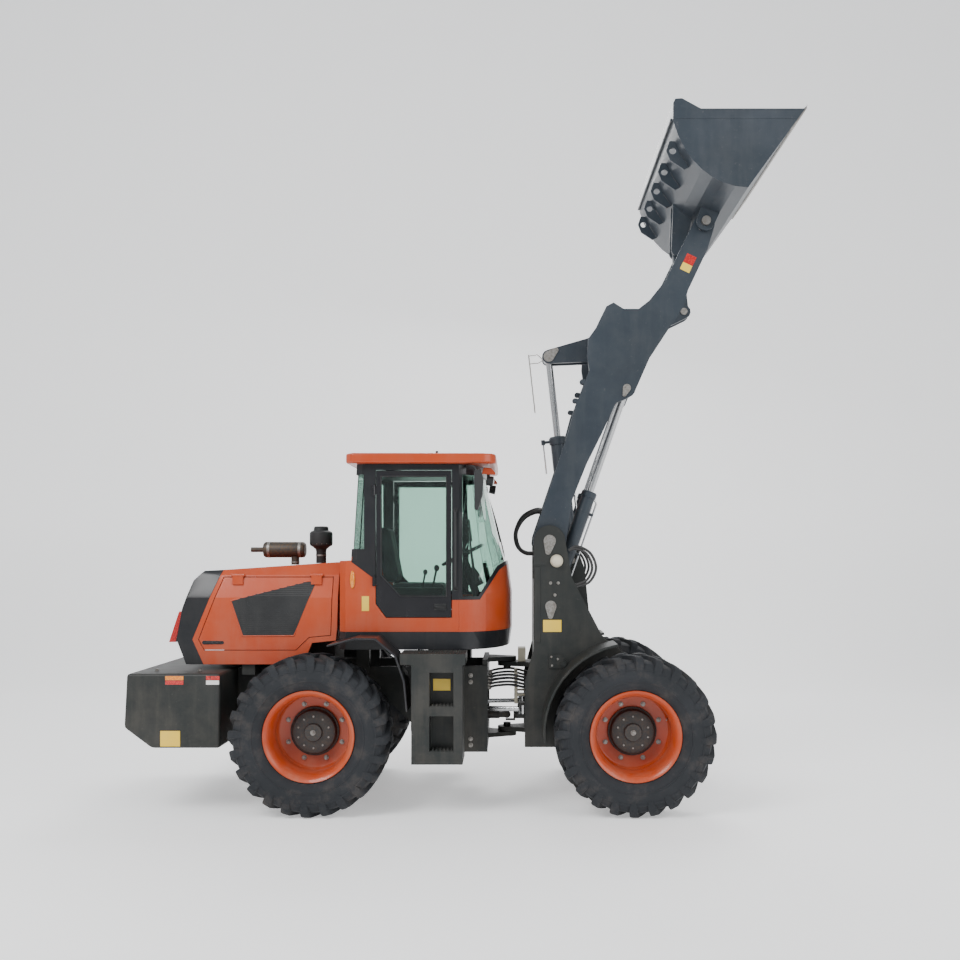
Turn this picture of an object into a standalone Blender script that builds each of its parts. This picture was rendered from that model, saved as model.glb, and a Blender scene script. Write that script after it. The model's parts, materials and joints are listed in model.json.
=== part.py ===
"""Compact articulated wheel loader: a rear frame with engine, hood and cab, a front frame that
swings on a vertical pin and carries the boom, and a bucket worked through a rocker and a link.

The machine faces +X, +Z is up and the left side is +Y.  Lengths are metres.  Inside this script X
is measured from the pin of the articulated frame; the last step centres the machine over the
origin.
"""
import math

import bmesh
import bpy
from mathutils import Matrix, Vector

# --- driving dimensions ------------------------------------------------------------------------

TOUCH = 0.0003            # gap between solids that lie face to face
RUNNING = 0.0006          # radial play of a rod in its sleeve
PIN_PLAY = 0.0002         # least radial play of a turning pin in its bore
CLEAR = 0.005             # gap between a moving piece and what it passes
HINGE_KNUCKLE = 0.012     # radius of a door hinge's barrel
HINGE_AIR = 0.0005        # between that barrel and the wall it lies against

TYRE_RADIUS = 0.595
TYRE_WIDTH = 0.41
TRACK = 1.63              # between the middles of a pair of tyres
FRONT_AXLE_X = 0.94
REAR_AXLE_X = -1.436
BEAD_RADIUS = 0.305
BEAD_WIDTH = 0.28
FLANGE_RADIUS = 0.338
FLANGE_DEPTH = 0.025
DISC_INSET = 0.28         # from the outer flange in to the bolt face
DISC_PLATE = 0.02
HUB_RADIUS = 0.183
SPINDLE_RADIUS = 0.06
SPINDLE_REACH = 0.07
AXLE_TUBE = 0.085
AXLE_BALL = 0.17
WHEEL_SEGMENTS = 24

PAD_HEIGHT = 0.155        # frame underside above the axle centre
PAD_LENGTH = 0.20

REAR_FRAME_HALF = 0.37
FRAME_PLATE = 0.03
REAR_FRAME_TOP = 1.05
REAR_FRAME_LOW = 0.38
REAR_FRAME_FRONT = -0.15
STEER_PLATE_X = -0.72

COUNTERWEIGHT_REAR = -2.80
COUNTERWEIGHT_FRONT = -2.095
COUNTERWEIGHT_HALF = 0.90
COUNTERWEIGHT_TOP = 1.045
COUNTERWEIGHT_LOW = 0.50

HOOD_HALF = 0.58
HOOD_WALL = 0.03
HOOD_TOP_REAR = (-2.17, 1.80)
HOOD_TOP_FRONT = (-1.276, 1.861)
HOOD_LOW = 1.083
HOOD_SHOULDER_Z = 1.76    # where the side panel ends and the top begins
HOOD_SHOULDER_Y = 0.535
ENGINE_DOOR_LOW = 1.188

CAB_HALF = 0.65
CAB_WALL = 0.045
CAB_FLOOR = 1.20
CAB_TOP = 2.60
CAB_REAR = -1.265
CAB_NOSE_X = 0.04
CAB_NOSE_START = -0.36
ROOF_THICKNESS = 0.078
ROOF_HALF = 0.72
ROOF_REAR = -1.212
ROOF_FRONT = -0.08
GLASS = 0.008
GLASS_INSET = 0.012

STEP_OUTER = 0.98
STEP_INNER = 0.64
STEP_REAR = -0.69
STEP_FRONT = -0.317
STEP_LOW = 0.395
PLATFORM_TOP = 1.198
PLATFORM_THICKNESS = 0.08

TOWER_HALF = 0.42
TOWER_PLATE = 0.025
INNER_PLATE_Y = 0.155     # inner face of the inner tower plates
TOWER_REAR = 0.21
FRONT_FRAME_FRONT = 1.12
FRONT_FRAME_TOP = 1.0

BOOM_PIVOT = (0.332, 2.023)
BUCKET_PIVOT = (1.54, 4.497)
LIFT_BASE = (0.341, 1.517)
LIFT_EYE = (0.934, 3.213)
ROCKER_PIVOT = (0.707, 3.574)
ROCKER_REAR = (0.337, 3.513)
ROCKER_FRONT = (1.425, 3.875)
TILT_BASE = (0.52, 1.87)
LINK_LEVER = 0.20         # from the bucket pivot to the link pin
LINK_LEVER_ANGLE = 216.0

ARM_OUTER = 0.38
ARM_PLATE = 0.05
ARM_ROOT = 0.13
ARM_TIP = 0.08
PIN_RADIUS = 0.035
CROSS_TUBE = (0.98, 3.40)
CROSS_TUBE_RADIUS = 0.08

LIFT_PLANE = 0.255        # middle of a lift cylinder across the machine
LIFT_BARREL = 0.055
LIFT_BARREL_LENGTH = 0.95
LIFT_ROD = 0.03
LIFT_PIN = 0.03
TILT_BARREL = 0.062
TILT_BARREL_LENGTH = 1.01
TILT_ROD = 0.0275
TILT_PIN = 0.025
TILT_CHAMBER = 0.046
TILT_PISTON = (0.80, 0.85)   # along the barrel from its base pin, at rest
CYLINDER_BOTTOM = 0.14    # from the base pin to the bottom of the bore
LIFT_STROKE = 0.77
TILT_STROKE = 0.59

ROCKER_INNER = 0.045      # inner face of the rocker's side plates
ROCKER_PLATE = 0.03
LINK_HALF = 0.035
LINK_PIN = 0.028
BOOM_EAR_INNER = 0.085
BOOM_EAR_PLATE = 0.03

BUCKET_HALF = 1.05
BUCKET_WALL = 0.018
BUCKET_SIDE = 0.02
BUCKET_EARS = ((0.28, 0.31), (0.40, 0.43))

STEER_HEIGHT = 0.70
STEER_BASE = (-0.62, 0.16)
STEER_EYE = (0.13, 0.27)
STEER_BARREL = 0.035
STEER_BARREL_LENGTH = 0.46
STEER_ROD = 0.02
STEER_PIN = 0.018
STEER_EYE_HALF = 0.035    # half the height of a steering eye

HINGE_PIN = 0.03
HINGE_TONGUE = 0.075
HINGE_PLATE = 0.035
UPPER_HINGE = 1.0575      # middle of the gap between the upper tongues
LOWER_HINGE = 0.4925

LEFT = 1
RIGHT = -1
SIDES = (("left", LEFT), ("right", RIGHT))


# --- working tools -----------------------------------------------------------------------------

def clear_scene():
    for existing in list(bpy.data.objects):
        bpy.data.objects.remove(existing, do_unlink=True)


def new_collection(name):
    collection = bpy.data.collections.new(name)
    bpy.context.scene.collection.children.link(collection)
    return collection


def new_material(name, colour, roughness, metallic=0.0):
    material = bpy.data.materials.new(name)
    material.use_nodes = True
    shader = material.node_tree.nodes["Principled BSDF"]
    shader.inputs["Base Color"].default_value = (*colour, 1.0)
    shader.inputs["Roughness"].default_value = roughness
    shader.inputs["Metallic"].default_value = metallic
    material.diffuse_color = (*colour, 1.0)
    return material


def place(mesh, name="work"):
    obj = bpy.data.objects.new(name, mesh)
    workshop.objects.link(obj)
    return obj


def drop(obj):
    mesh = obj.data
    bpy.data.objects.remove(obj, do_unlink=True)
    if isinstance(mesh, bpy.types.Mesh):
        bpy.data.meshes.remove(mesh)
    else:
        bpy.data.curves.remove(mesh)


def evaluated_mesh(obj):
    depsgraph = bpy.context.evaluated_depsgraph_get()
    depsgraph.update()
    return bpy.data.meshes.new_from_object(obj.evaluated_get(depsgraph))


def from_bmesh(shape):
    mesh = bpy.data.meshes.new("work")
    shape.to_mesh(mesh)
    shape.free()
    return place(mesh)


def box(low, high):
    shape = bmesh.new()
    bmesh.ops.create_cube(shape, size=1.0)
    low, high = Vector(low), Vector(high)
    size = Matrix.Diagonal((*(high - low), 1.0))
    shape.transform(Matrix.Translation((low + high) / 2) @ size)
    return from_bmesh(shape)


def cylinder(start, end, radius, segments=16, end_radius=None):
    start, end = Vector(start), Vector(end)
    shape = bmesh.new()
    bmesh.ops.create_cone(shape, cap_ends=True, segments=segments, radius1=radius,
                          radius2=radius if end_radius is None else end_radius,
                          depth=(end - start).length)
    turn = (end - start).to_track_quat("Z", "Y").to_matrix().to_4x4()
    shape.transform(Matrix.Translation((start + end) / 2) @ turn)
    return from_bmesh(shape)


def bore_for(pin, segments=16):
    """Radius of a faceted bore that a faceted pin turns in with its running play."""
    return (pin + PIN_PLAY) / math.cos(math.pi / segments)


def solid(outline, low, high, normal="Y"):
    """Extrude a flat outline: (x, z) across Y, (x, y) up Z or (y, z) along X."""
    curve = bpy.data.curves.new("outline", "CURVE")
    curve.dimensions = "2D"
    curve.fill_mode = "BOTH"
    curve.extrude = (high - low) / 2
    spline = curve.splines.new("POLY")
    spline.points.add(len(outline) - 1)
    for point, (across, up) in zip(spline.points, outline):
        point.co = (across, up, 0.0, 1.0)
    spline.use_cyclic_u = True
    guide = place(curve)
    mesh = evaluated_mesh(guide)
    drop(guide)
    middle = (low + high) / 2
    if normal == "Y":
        mesh.transform(Matrix.Translation((0, middle, 0)) @ Matrix.Rotation(math.pi / 2, 4, "X"))
    elif normal == "Z":
        mesh.transform(Matrix.Translation((0, 0, middle)))
    else:
        mesh.transform(Matrix(((0, 0, 1, middle), (1, 0, 0, 0), (0, 1, 0, 0), (0, 0, 0, 1))))
    shape = bmesh.new()
    shape.from_mesh(mesh)
    bpy.data.meshes.remove(mesh)
    bmesh.ops.remove_doubles(shape, verts=shape.verts, dist=1e-5)
    bmesh.ops.recalc_face_normals(shape, faces=shape.faces)
    return from_bmesh(shape)


def turned(profile, centre, axis, segments, closed=False):
    """Turn (radius, height) points, listed down the outer side, about an axis."""
    count = len(profile)
    edges = [(index, index + 1) for index in range(count - 1)]
    if closed:
        edges.append((count - 1, 0))
    mesh = bpy.data.meshes.new("profile")
    mesh.from_pydata([(radius, 0, height) for radius, height in profile], edges, [])
    obj = place(mesh)
    screw = obj.modifiers.new("Turn", "SCREW")
    screw.steps = segments
    screw.render_steps = segments
    screw.use_merge_vertices = True
    screw.merge_threshold = 0.0001
    result = evaluated_mesh(obj)
    drop(obj)
    half_step = Matrix.Rotation(math.pi / segments, 4, "Z")
    turn = Vector(axis).to_track_quat("Z", "Y").to_matrix().to_4x4()
    result.transform(Matrix.Translation(centre) @ turn @ half_step)
    return place(result)


def loft(rings):
    """Join rings of equal length, each a list of points, into one closed solid."""
    shape = bmesh.new()
    loops = [[shape.verts.new(point) for point in ring] for ring in rings]
    count = len(rings[0])
    for lower, upper in zip(loops, loops[1:]):
        for index in range(count):
            following = (index + 1) % count
            shape.faces.new((lower[index], lower[following], upper[following], upper[index]))
    shape.faces.new(reversed(loops[0]))
    shape.faces.new(loops[-1])
    bmesh.ops.triangulate(shape, faces=shape.faces)
    bmesh.ops.recalc_face_normals(shape, faces=shape.faces)
    return from_bmesh(shape)


def combine(base, others, operation):
    """Apply one Boolean for each of the other solids, which are used up."""
    for other in others:
        modifier = base.modifiers.new(operation.title(), "BOOLEAN")
        modifier.operation = operation
        modifier.solver = "EXACT"
        modifier.object = other
        mesh = evaluated_mesh(base)
        old = base.data
        base.modifiers.clear()
        base.data = mesh
        bpy.data.meshes.remove(old)
        drop(other)
    return base


def fuse(*solids):
    return combine(solids[0], solids[1:], "UNION")


def cut(base, *cutters):
    return combine(base, cutters, "DIFFERENCE")


def keep(base, *regions):
    return combine(base, regions, "INTERSECT")


def copy_of(obj):
    return place(obj.data.copy())


def finish(obj, name, material, origin=None):
    """Name a solid, give it its material and move its origin onto its joint's axis."""
    shape = bmesh.new()
    shape.from_mesh(obj.data)
    bmesh.ops.remove_doubles(shape, verts=shape.verts, dist=1e-6)
    bmesh.ops.dissolve_limit(shape, angle_limit=math.radians(0.05), verts=shape.verts,
                             edges=shape.edges)
    shape.to_mesh(obj.data)
    shape.free()
    workshop.objects.unlink(obj)
    loader.objects.link(obj)
    obj.name = name
    obj.data.name = name
    obj.data.materials.clear()
    obj.data.materials.append(material)
    if origin is not None:
        obj.data.transform(Matrix.Translation(-Vector(origin)))
        obj.location = origin
    obj.data.shade_smooth()
    obj.data.set_sharp_from_angle(angle=math.radians(35))
    return obj


def arc(centre, radius, start, end, steps):
    """Points on an arc, angles in degrees, both ends included."""
    points = []
    for step in range(steps + 1):
        angle = math.radians(start + (end - start) * step / steps)
        points.append((centre[0] + radius * math.cos(angle), centre[1] + radius * math.sin(angle)))
    return points


def bar(first, first_radius, second, second_radius, steps=8):
    """The outline round two circles, as of a link or a lug."""
    reach = math.dist(first, second)
    heading = math.degrees(math.atan2(second[1] - first[1], second[0] - first[0]))
    spread = math.degrees(math.acos((first_radius - second_radius) / reach))
    tail = arc(first, first_radius, heading + spread, heading + 360 - spread, steps)
    head = arc(second, second_radius, heading - spread, heading + spread, steps)
    return tail + head


def bezier(start, first, second, end, steps):
    points = []
    for step in range(steps + 1):
        t = step / steps
        weights = ((1 - t) ** 3, 3 * t * (1 - t) ** 2, 3 * t * t * (1 - t), t ** 3)
        points.append(tuple(sum(weight * point[axis] for weight, point in
                                zip(weights, (start, first, second, end))) for axis in (0, 1)))
    return points


def inset(outline, distance):
    """Move every edge of an outline inwards by the same distance."""
    count = len(outline)
    area = sum(outline[i][0] * outline[(i + 1) % count][1]
               - outline[(i + 1) % count][0] * outline[i][1] for i in range(count))
    inward = distance if area > 0 else -distance
    result = []
    for index in range(count):
        before, here, after = (Vector(outline[(index + step) % count]) for step in (-1, 0, 1))
        first, second = (here - before).normalized(), (after - here).normalized()
        first_normal = Vector((-first.y, first.x))
        second_normal = Vector((-second.y, second.x))
        middle = (first_normal + second_normal).normalized()
        result.append(tuple(here + middle * (inward / middle.dot(first_normal))))
    return result


def across(point, y):
    """A side-view point (x, z) at a place across the machine."""
    return (point[0], y, point[1])


def moved(point, distance, angle):
    angle = math.radians(angle)
    return (point[0] + distance * math.cos(angle), point[1] + distance * math.sin(angle))


# --- wheels and axles --------------------------------------------------------------------------

def build_wheel(name, axle_x, side):
    """A tyre on its dished rim; the rim's hub turns on the axle's spindle."""
    half = TYRE_WIDTH / 2
    bead = BEAD_WIDTH / 2
    lip = FLANGE_RADIUS + 0.004
    centre = (axle_x, side * TRACK / 2, TYRE_RADIUS)
    out = (0, side, 0)
    tyre_profile = [(TYRE_RADIUS, 0.75 * half), (TYRE_RADIUS, -0.75 * half),
                    (TYRE_RADIUS - 0.02, -0.93 * half), (0.5 * (TYRE_RADIUS + lip), -half),
                    (lip + 0.02, -0.9 * half), (lip, -bead), (BEAD_RADIUS + TOUCH, -bead),
                    (BEAD_RADIUS + TOUCH, bead), (lip, bead), (lip + 0.02, 0.9 * half),
                    (0.5 * (TYRE_RADIUS + lip), half), (TYRE_RADIUS - 0.02, 0.93 * half)]
    tyre = turned(tyre_profile, centre, out, WHEEL_SEGMENTS, closed=True)
    finish(tyre, name + "_tyre", rubber, centre)
    flange = bead + TOUCH
    outer = flange + FLANGE_DEPTH
    disc = outer - DISC_INSET
    back = disc - DISC_PLATE
    inner_wall = BEAD_RADIUS - 0.012
    bore = SPINDLE_RADIUS + RUNNING
    rim_profile = [(0, disc + 0.12), (0.075, disc + 0.12), (0.085, disc + 0.085),
                   (HUB_RADIUS - 0.02, disc + 0.075), (HUB_RADIUS, disc + 0.05), (HUB_RADIUS, disc),
                   (inner_wall, disc), (inner_wall, outer - 0.02), (FLANGE_RADIUS - 0.01, outer),
                   (FLANGE_RADIUS, flange), (BEAD_RADIUS, flange), (BEAD_RADIUS, -flange),
                   (FLANGE_RADIUS, -flange), (FLANGE_RADIUS - 0.01, -outer), (inner_wall, back),
                   (bore, back), (bore, back + SPINDLE_REACH + 0.004),
                   (0, back + SPINDLE_REACH + 0.004)]
    rim = turned(rim_profile, centre, out, WHEEL_SEGMENTS)
    finish(rim, name + "_rim", orange, centre)


def wheel_disc_back():
    """How far out from the machine's middle the back of a wheel disc stands."""
    return TRACK / 2 + BEAD_WIDTH / 2 + TOUCH + FLANGE_DEPTH - DISC_INSET - DISC_PLATE


def build_axle(name, axle_x, frame_half):
    face = wheel_disc_back() - CLEAR
    tip = wheel_disc_back() + SPINDLE_REACH
    half = [(0, tip), (SPINDLE_RADIUS, tip), (SPINDLE_RADIUS, face), (0.15, face),
            (0.15, face - 0.05), (AXLE_TUBE, face - 0.09), (AXLE_TUBE, 0.20), (AXLE_BALL, 0.07)]
    profile = half + [(radius, -height) for radius, height in reversed(half)]
    axle = turned(profile, (axle_x, 0, TYRE_RADIUS), (0, 1, 0), WHEEL_SEGMENTS)
    top = TYRE_RADIUS + PAD_HEIGHT - TOUCH
    pads = [box((axle_x - PAD_LENGTH / 2, side * frame_half - 0.03, TYRE_RADIUS),
                (axle_x + PAD_LENGTH / 2, side * frame_half + 0.03, top)) for _, side in SIDES]
    finish(fuse(axle, *pads), name, chassis)


# --- rear frame --------------------------------------------------------------------------------

def hinge_tongue(root_x, middle, half_height, bore):
    """A tongue from a frame's end plate to the vertical pin, with or without its bore."""
    width = 0.16 if root_x < 0 else -0.16
    plan = arc((0, 0), HINGE_TONGUE, -90 if root_x < 0 else 90, 90 if root_x < 0 else 270, 8)
    plan += [(root_x, width), (root_x, -width)]
    tongue = solid(plan, middle - half_height, middle + half_height, "Z")
    if bore:
        cutter = cylinder((0, 0, middle - 0.1), (0, 0, middle + 0.1), bore_for(HINGE_PIN))
        tongue = cut(tongue, cutter)
    return tongue


def build_rear_frame():
    low = TYRE_RADIUS + PAD_HEIGHT
    rear = COUNTERWEIGHT_FRONT + TOUCH
    side = [(rear, low - 0.15), (REAR_AXLE_X - 0.45, low), (REAR_AXLE_X + 0.55, low),
            (-0.52, REAR_FRAME_LOW), (REAR_FRAME_FRONT, REAR_FRAME_LOW),
            (REAR_FRAME_FRONT, REAR_FRAME_TOP), (rear, REAR_FRAME_TOP - 0.01)]
    inner = REAR_FRAME_HALF - FRAME_PLATE
    parts = [solid(side, inner, REAR_FRAME_HALF), solid(side, -REAR_FRAME_HALF, -inner)]
    reach = inner + 0.01
    front = REAR_FRAME_FRONT
    plate = HINGE_PLATE / 2
    upper = UPPER_HINGE + 0.0025 + plate
    lower = LOWER_HINGE - 0.0025 - plate
    parts += [
        box((front - 0.04, -reach, 0.86), (front - 0.001, reach, upper + plate)),
        box((front - 0.04, -reach, REAR_FRAME_LOW + 0.01), (front - 0.001, reach, 0.56)),
        box((STEER_PLATE_X - 0.03, -reach, REAR_FRAME_LOW + 0.16),
            (STEER_PLATE_X, reach, REAR_FRAME_TOP - 0.01)),
        box((rear + 0.001, -reach, low - 0.13), (rear + 0.04, reach, REAR_FRAME_TOP - 0.02)),
        hinge_tongue(front - 0.02, upper, plate, False),
        hinge_tongue(front - 0.02, lower, plate, False),
        cylinder((0, 0, upper - 0.085), (0, 0, upper), HINGE_PIN),
        cylinder((0, 0, lower), (0, 0, lower + 0.085), HINGE_PIN),
    ]
    mount_top = CAB_FLOOR - TOUCH
    base_x, base_y = STEER_BASE
    for _, turn in SIDES:
        for mount_x in (-1.12, -0.45):
            y = turn * (REAR_FRAME_HALF - 0.03)
            parts.append(box((mount_x - 0.05, y - 0.04, REAR_FRAME_TOP - 0.06),
                             (mount_x + 0.05, y + 0.04, mount_top)))
        ends = sorted((turn * (inner + 0.01), turn * (STEP_INNER - TOUCH)))
        parts.append(box((-0.62, ends[0], 0.85), (-0.42, ends[1], 0.97)))
        ends = sorted((turn * (inner + 0.01), turn * (HOOD_HALF - HOOD_WALL - TOUCH)))
        for bracket_x in (-2.02, -1.75):
            parts.append(box((bracket_x, ends[0], REAR_FRAME_TOP - 0.05),
                             (bracket_x + 0.10, ends[1], HOOD_LOW + 0.04)))
        for level in (STEER_HEIGHT + STEER_EYE_HALF + 0.002, STEER_HEIGHT - STEER_EYE_HALF - 0.017):
            parts.append(box((STEER_PLATE_X - 0.01, turn * base_y - 0.05, level),
                             (base_x + 0.035, turn * base_y + 0.05, level + 0.015)))
        parts.append(cylinder((base_x, turn * base_y, STEER_HEIGHT - STEER_EYE_HALF - 0.01),
                              (base_x, turn * base_y, STEER_HEIGHT + STEER_EYE_HALF + 0.01),
                              STEER_PIN, 16))
    finish(fuse(*parts), "rear_frame", chassis)


def build_counterweight():
    outline = [(COUNTERWEIGHT_FRONT, COUNTERWEIGHT_LOW), (COUNTERWEIGHT_FRONT, COUNTERWEIGHT_TOP),
               (COUNTERWEIGHT_REAR + 0.02, COUNTERWEIGHT_TOP), (COUNTERWEIGHT_REAR, 0.65),
               (COUNTERWEIGHT_REAR + 0.2, COUNTERWEIGHT_LOW)]
    block = solid(outline, -COUNTERWEIGHT_HALF, COUNTERWEIGHT_HALF)
    finish(block, "counterweight", chassis)


def build_engine():
    side = REAR_FRAME_HALF - FRAME_PLATE - TOUCH
    block = box((-1.98, -0.25, 0.82), (-1.36, 0.25, 1.50))
    feet = box((-1.75, -side, 0.88), (-1.60, side, 0.96))
    finish(fuse(block, feet), "engine_block", dark)


# --- hood --------------------------------------------------------------------------------------

def hood_volume(depth):
    """The whole rear body, drawn in by a wall's thickness."""
    low = HOOD_LOW if depth == 0 else HOOD_LOW - 0.3
    side = [(-2.438, low), (-2.51, 1.27), (-2.47, 1.50), (-2.39, 1.72), (-2.316, 1.793),
            HOOD_TOP_REAR, HOOD_TOP_FRONT, (-1.29, 1.35), (-1.30, 1.264)]
    side += [(-1.48, 1.245), (-1.52, 1.15), (-1.60, low)] if depth == 0 else [(-1.30, low)]
    half = HOOD_HALF - depth
    shoulder = HOOD_SHOULDER_Y - depth
    top = 0.44 - depth
    section = [(half, low - 0.5), (half, 1.589), (shoulder, HOOD_SHOULDER_Z), (top, 1.87), (top, 2.0),
               (-top, 2.0), (-top, 1.87), (-shoulder, HOOD_SHOULDER_Z), (-half, 1.589),
               (-half, low - 0.5)]
    if depth:
        side = inset(side, depth)
    return keep(solid(side, -1.0, 1.0), solid(section, -3.0, 0.0, "X"))


def build_hood():
    shell = cut(hood_volume(0.0), hood_volume(HOOD_WALL))
    boundary = [(-2.305, 1.0), (-2.305, HOOD_LOW), (-2.389, 1.272), (-2.17, 1.80), (-2.17, 2.2)]
    tail_region = boundary + [(-3.0, 2.2), (-3.0, 1.0)]
    body_region = [(x + TOUCH, z) for x, z in boundary] + [(-1.0, 2.2), (-1.0, 1.0)]
    top = HOOD_SHOULDER_Z - 0.012
    door_region = [(-2.30, ENGINE_DOOR_LOW), (-2.345, 1.272), (-2.16, top), (-1.32, top),
                   (-1.335, 1.30), (-1.50, 1.285), (-1.60, ENGINE_DOOR_LOW)]
    tail = keep(copy_of(shell), solid(tail_region, -1.0, 1.0))
    finish(tail, "tail_cover", black)
    hood = keep(copy_of(shell), solid(body_region, -1.0, 1.0))
    for name, side in SIDES:
        depths = sorted((side * 0.42, side * 1.0))
        hood = cut(hood, solid(door_region, *depths))
        door = keep(copy_of(shell), solid(inset(door_region, CLEAR), *depths))
        hinge_y, hinge_z = engine_hinge()
        for x in (-2.05, -1.45):
            door = fuse(door, cylinder((x - 0.05, side * hinge_y, hinge_z),
                                       (x + 0.05, side * hinge_y, hinge_z), HINGE_KNUCKLE, 12),
                        engine_hinge_leaf(x, side))
        finish(door, "engine_door_" + name, orange, (0, side * hinge_y, hinge_z))
    drop(shell)
    finish(hood, "hood", orange)


def engine_hinge():
    """Where the engine doors turn: just outside the shoulder, above the door's edge."""
    return HOOD_SHOULDER_Y + HINGE_KNUCKLE + 0.0008, HOOD_SHOULDER_Z


def engine_hinge_leaf(x, side):
    y, z = engine_hinge()
    ends = [(side * (y - 0.008), z), (side * (y + 0.008), z), (side * (y + 0.02), z - 0.07),
            (side * (y - 0.012), z - 0.07)]
    return solid(ends, x - 0.04, x + 0.04, "X")


def hood_deck(x):
    """Height of the sloping hood top."""
    rear_x, rear_z = HOOD_TOP_REAR
    front_x, front_z = HOOD_TOP_FRONT
    return rear_z + (x - rear_x) * (front_z - rear_z) / (front_x - rear_x)


def build_exhaust():
    barrel = cylinder((-1.98, 0, 1.958), (-1.63, 0, 1.962), 0.065, 20)
    stub = cylinder((-2.08, 0, 1.958), (-1.97, 0, 1.958), 0.02, 12)
    riser_x, riser = -1.72, 0.034
    riser = cylinder((riser_x, 0, hood_deck(riser_x + riser) + TOUCH), (riser_x, 0, 1.96), riser)
    finish(fuse(barrel, stub, riser), "muffler", black)
    bowl_x, neck = -1.51, 0.042
    base = hood_deck(bowl_x + neck) + TOUCH
    profile = [(0, 2.153), (0.06, 2.15), (0.094, 2.11), (0.094, 1.986), (0.072, 1.98), (0.07, 1.95),
               (neck, 1.92), (neck, base), (0, base)]
    finish(turned(profile, (bowl_x, 0.0, 0), (0, 0, 1), 20), "air_cleaner", black)


# --- cab ---------------------------------------------------------------------------------------

CAB_LEVELS = ((CAB_FLOOR, 0.0, -0.02), (1.34, 0.0, 0.0), (1.62, 0.0, 0.0), (1.84, 0.0, -0.028),
              (1.870, 0.0, -0.036), (1.874, 0.085, -0.037), (2.04, 0.094, -0.09),
              (2.40, 0.117, -0.175), (CAB_TOP, 0.129, -0.205))


def cab_volume(depth):
    """The cab's outer form drawn in by a depth: straight sides and a nose that is half an ellipse."""
    rings = []
    for index, (z, rear_step, front_step) in enumerate(CAB_LEVELS):
        level = z - depth
        if index == 0:
            level = z + depth
        elif index in (1, 2):
            level = z
        half = CAB_HALF - depth
        reach = CAB_NOSE_X + front_step - CAB_NOSE_START - depth
        rear = CAB_REAR + rear_step + depth
        ring = []
        for step in range(13):
            angle = math.radians(-90 + 180 * step / 12)
            ring.append((CAB_NOSE_START + reach * math.cos(angle), half * math.sin(angle), level))
        corner = 0.05
        ring += [(rear + corner, half, level), (rear, half - corner, level),
                 (rear, corner - half, level), (rear + corner, -half, level)]
        rings.append(ring)
    return loft(rings)


CAB_NOSE_REGION = [(CAB_NOSE_START, 1.334), (0.3, 1.334), (0.3, 1.86), (0.0, 1.84), (-0.057, 1.80),
                   (-0.203, 1.575), (CAB_NOSE_START, 1.575)]
CAB_SIDE_REGION = [(-1.5, 1.334), (CAB_NOSE_START - TOUCH, 1.334), (CAB_NOSE_START - TOUCH, 1.575),
                   (-0.413, 1.575), (-0.413, 1.44), (-0.91, 1.44), (-0.988, 1.545), (-0.988, 1.73),
                   (-1.02, 1.75), (-1.17, 1.861), (-1.17, 1.90), (-1.5, 1.90)]
CAB_DOOR_REGION = [(-0.413, 1.44), (-0.91, 1.44), (-0.988, 1.545), (-0.988, 2.555), (-0.413, 2.555)]
DOOR_WINDOW = [(-0.45, 1.60), (-0.80, 1.60), (-0.948, 1.76), (-0.948, 2.51), (-0.45, 2.51)]
SCREEN_REGION = [(-0.335, 1.60), (-0.215, 1.60), (-0.075, 1.83), (0.0, 1.872), (0.3, 1.872),
                 (0.3, 2.52), (-0.335, 2.52)]
REAR_WINDOW_REGION = [(-1.6, 1.96), (-1.075, 1.96), (-1.075, 2.52), (-1.6, 2.52)]


def pane(region, low, high):
    """Glass that fills a window: a thin skin of the cab's form, cut to the window's outline."""
    skin = cut(cab_volume(GLASS_INSET), cab_volume(GLASS_INSET + GLASS))
    return keep(skin, solid(inset(region, TOUCH), low, high))


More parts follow.
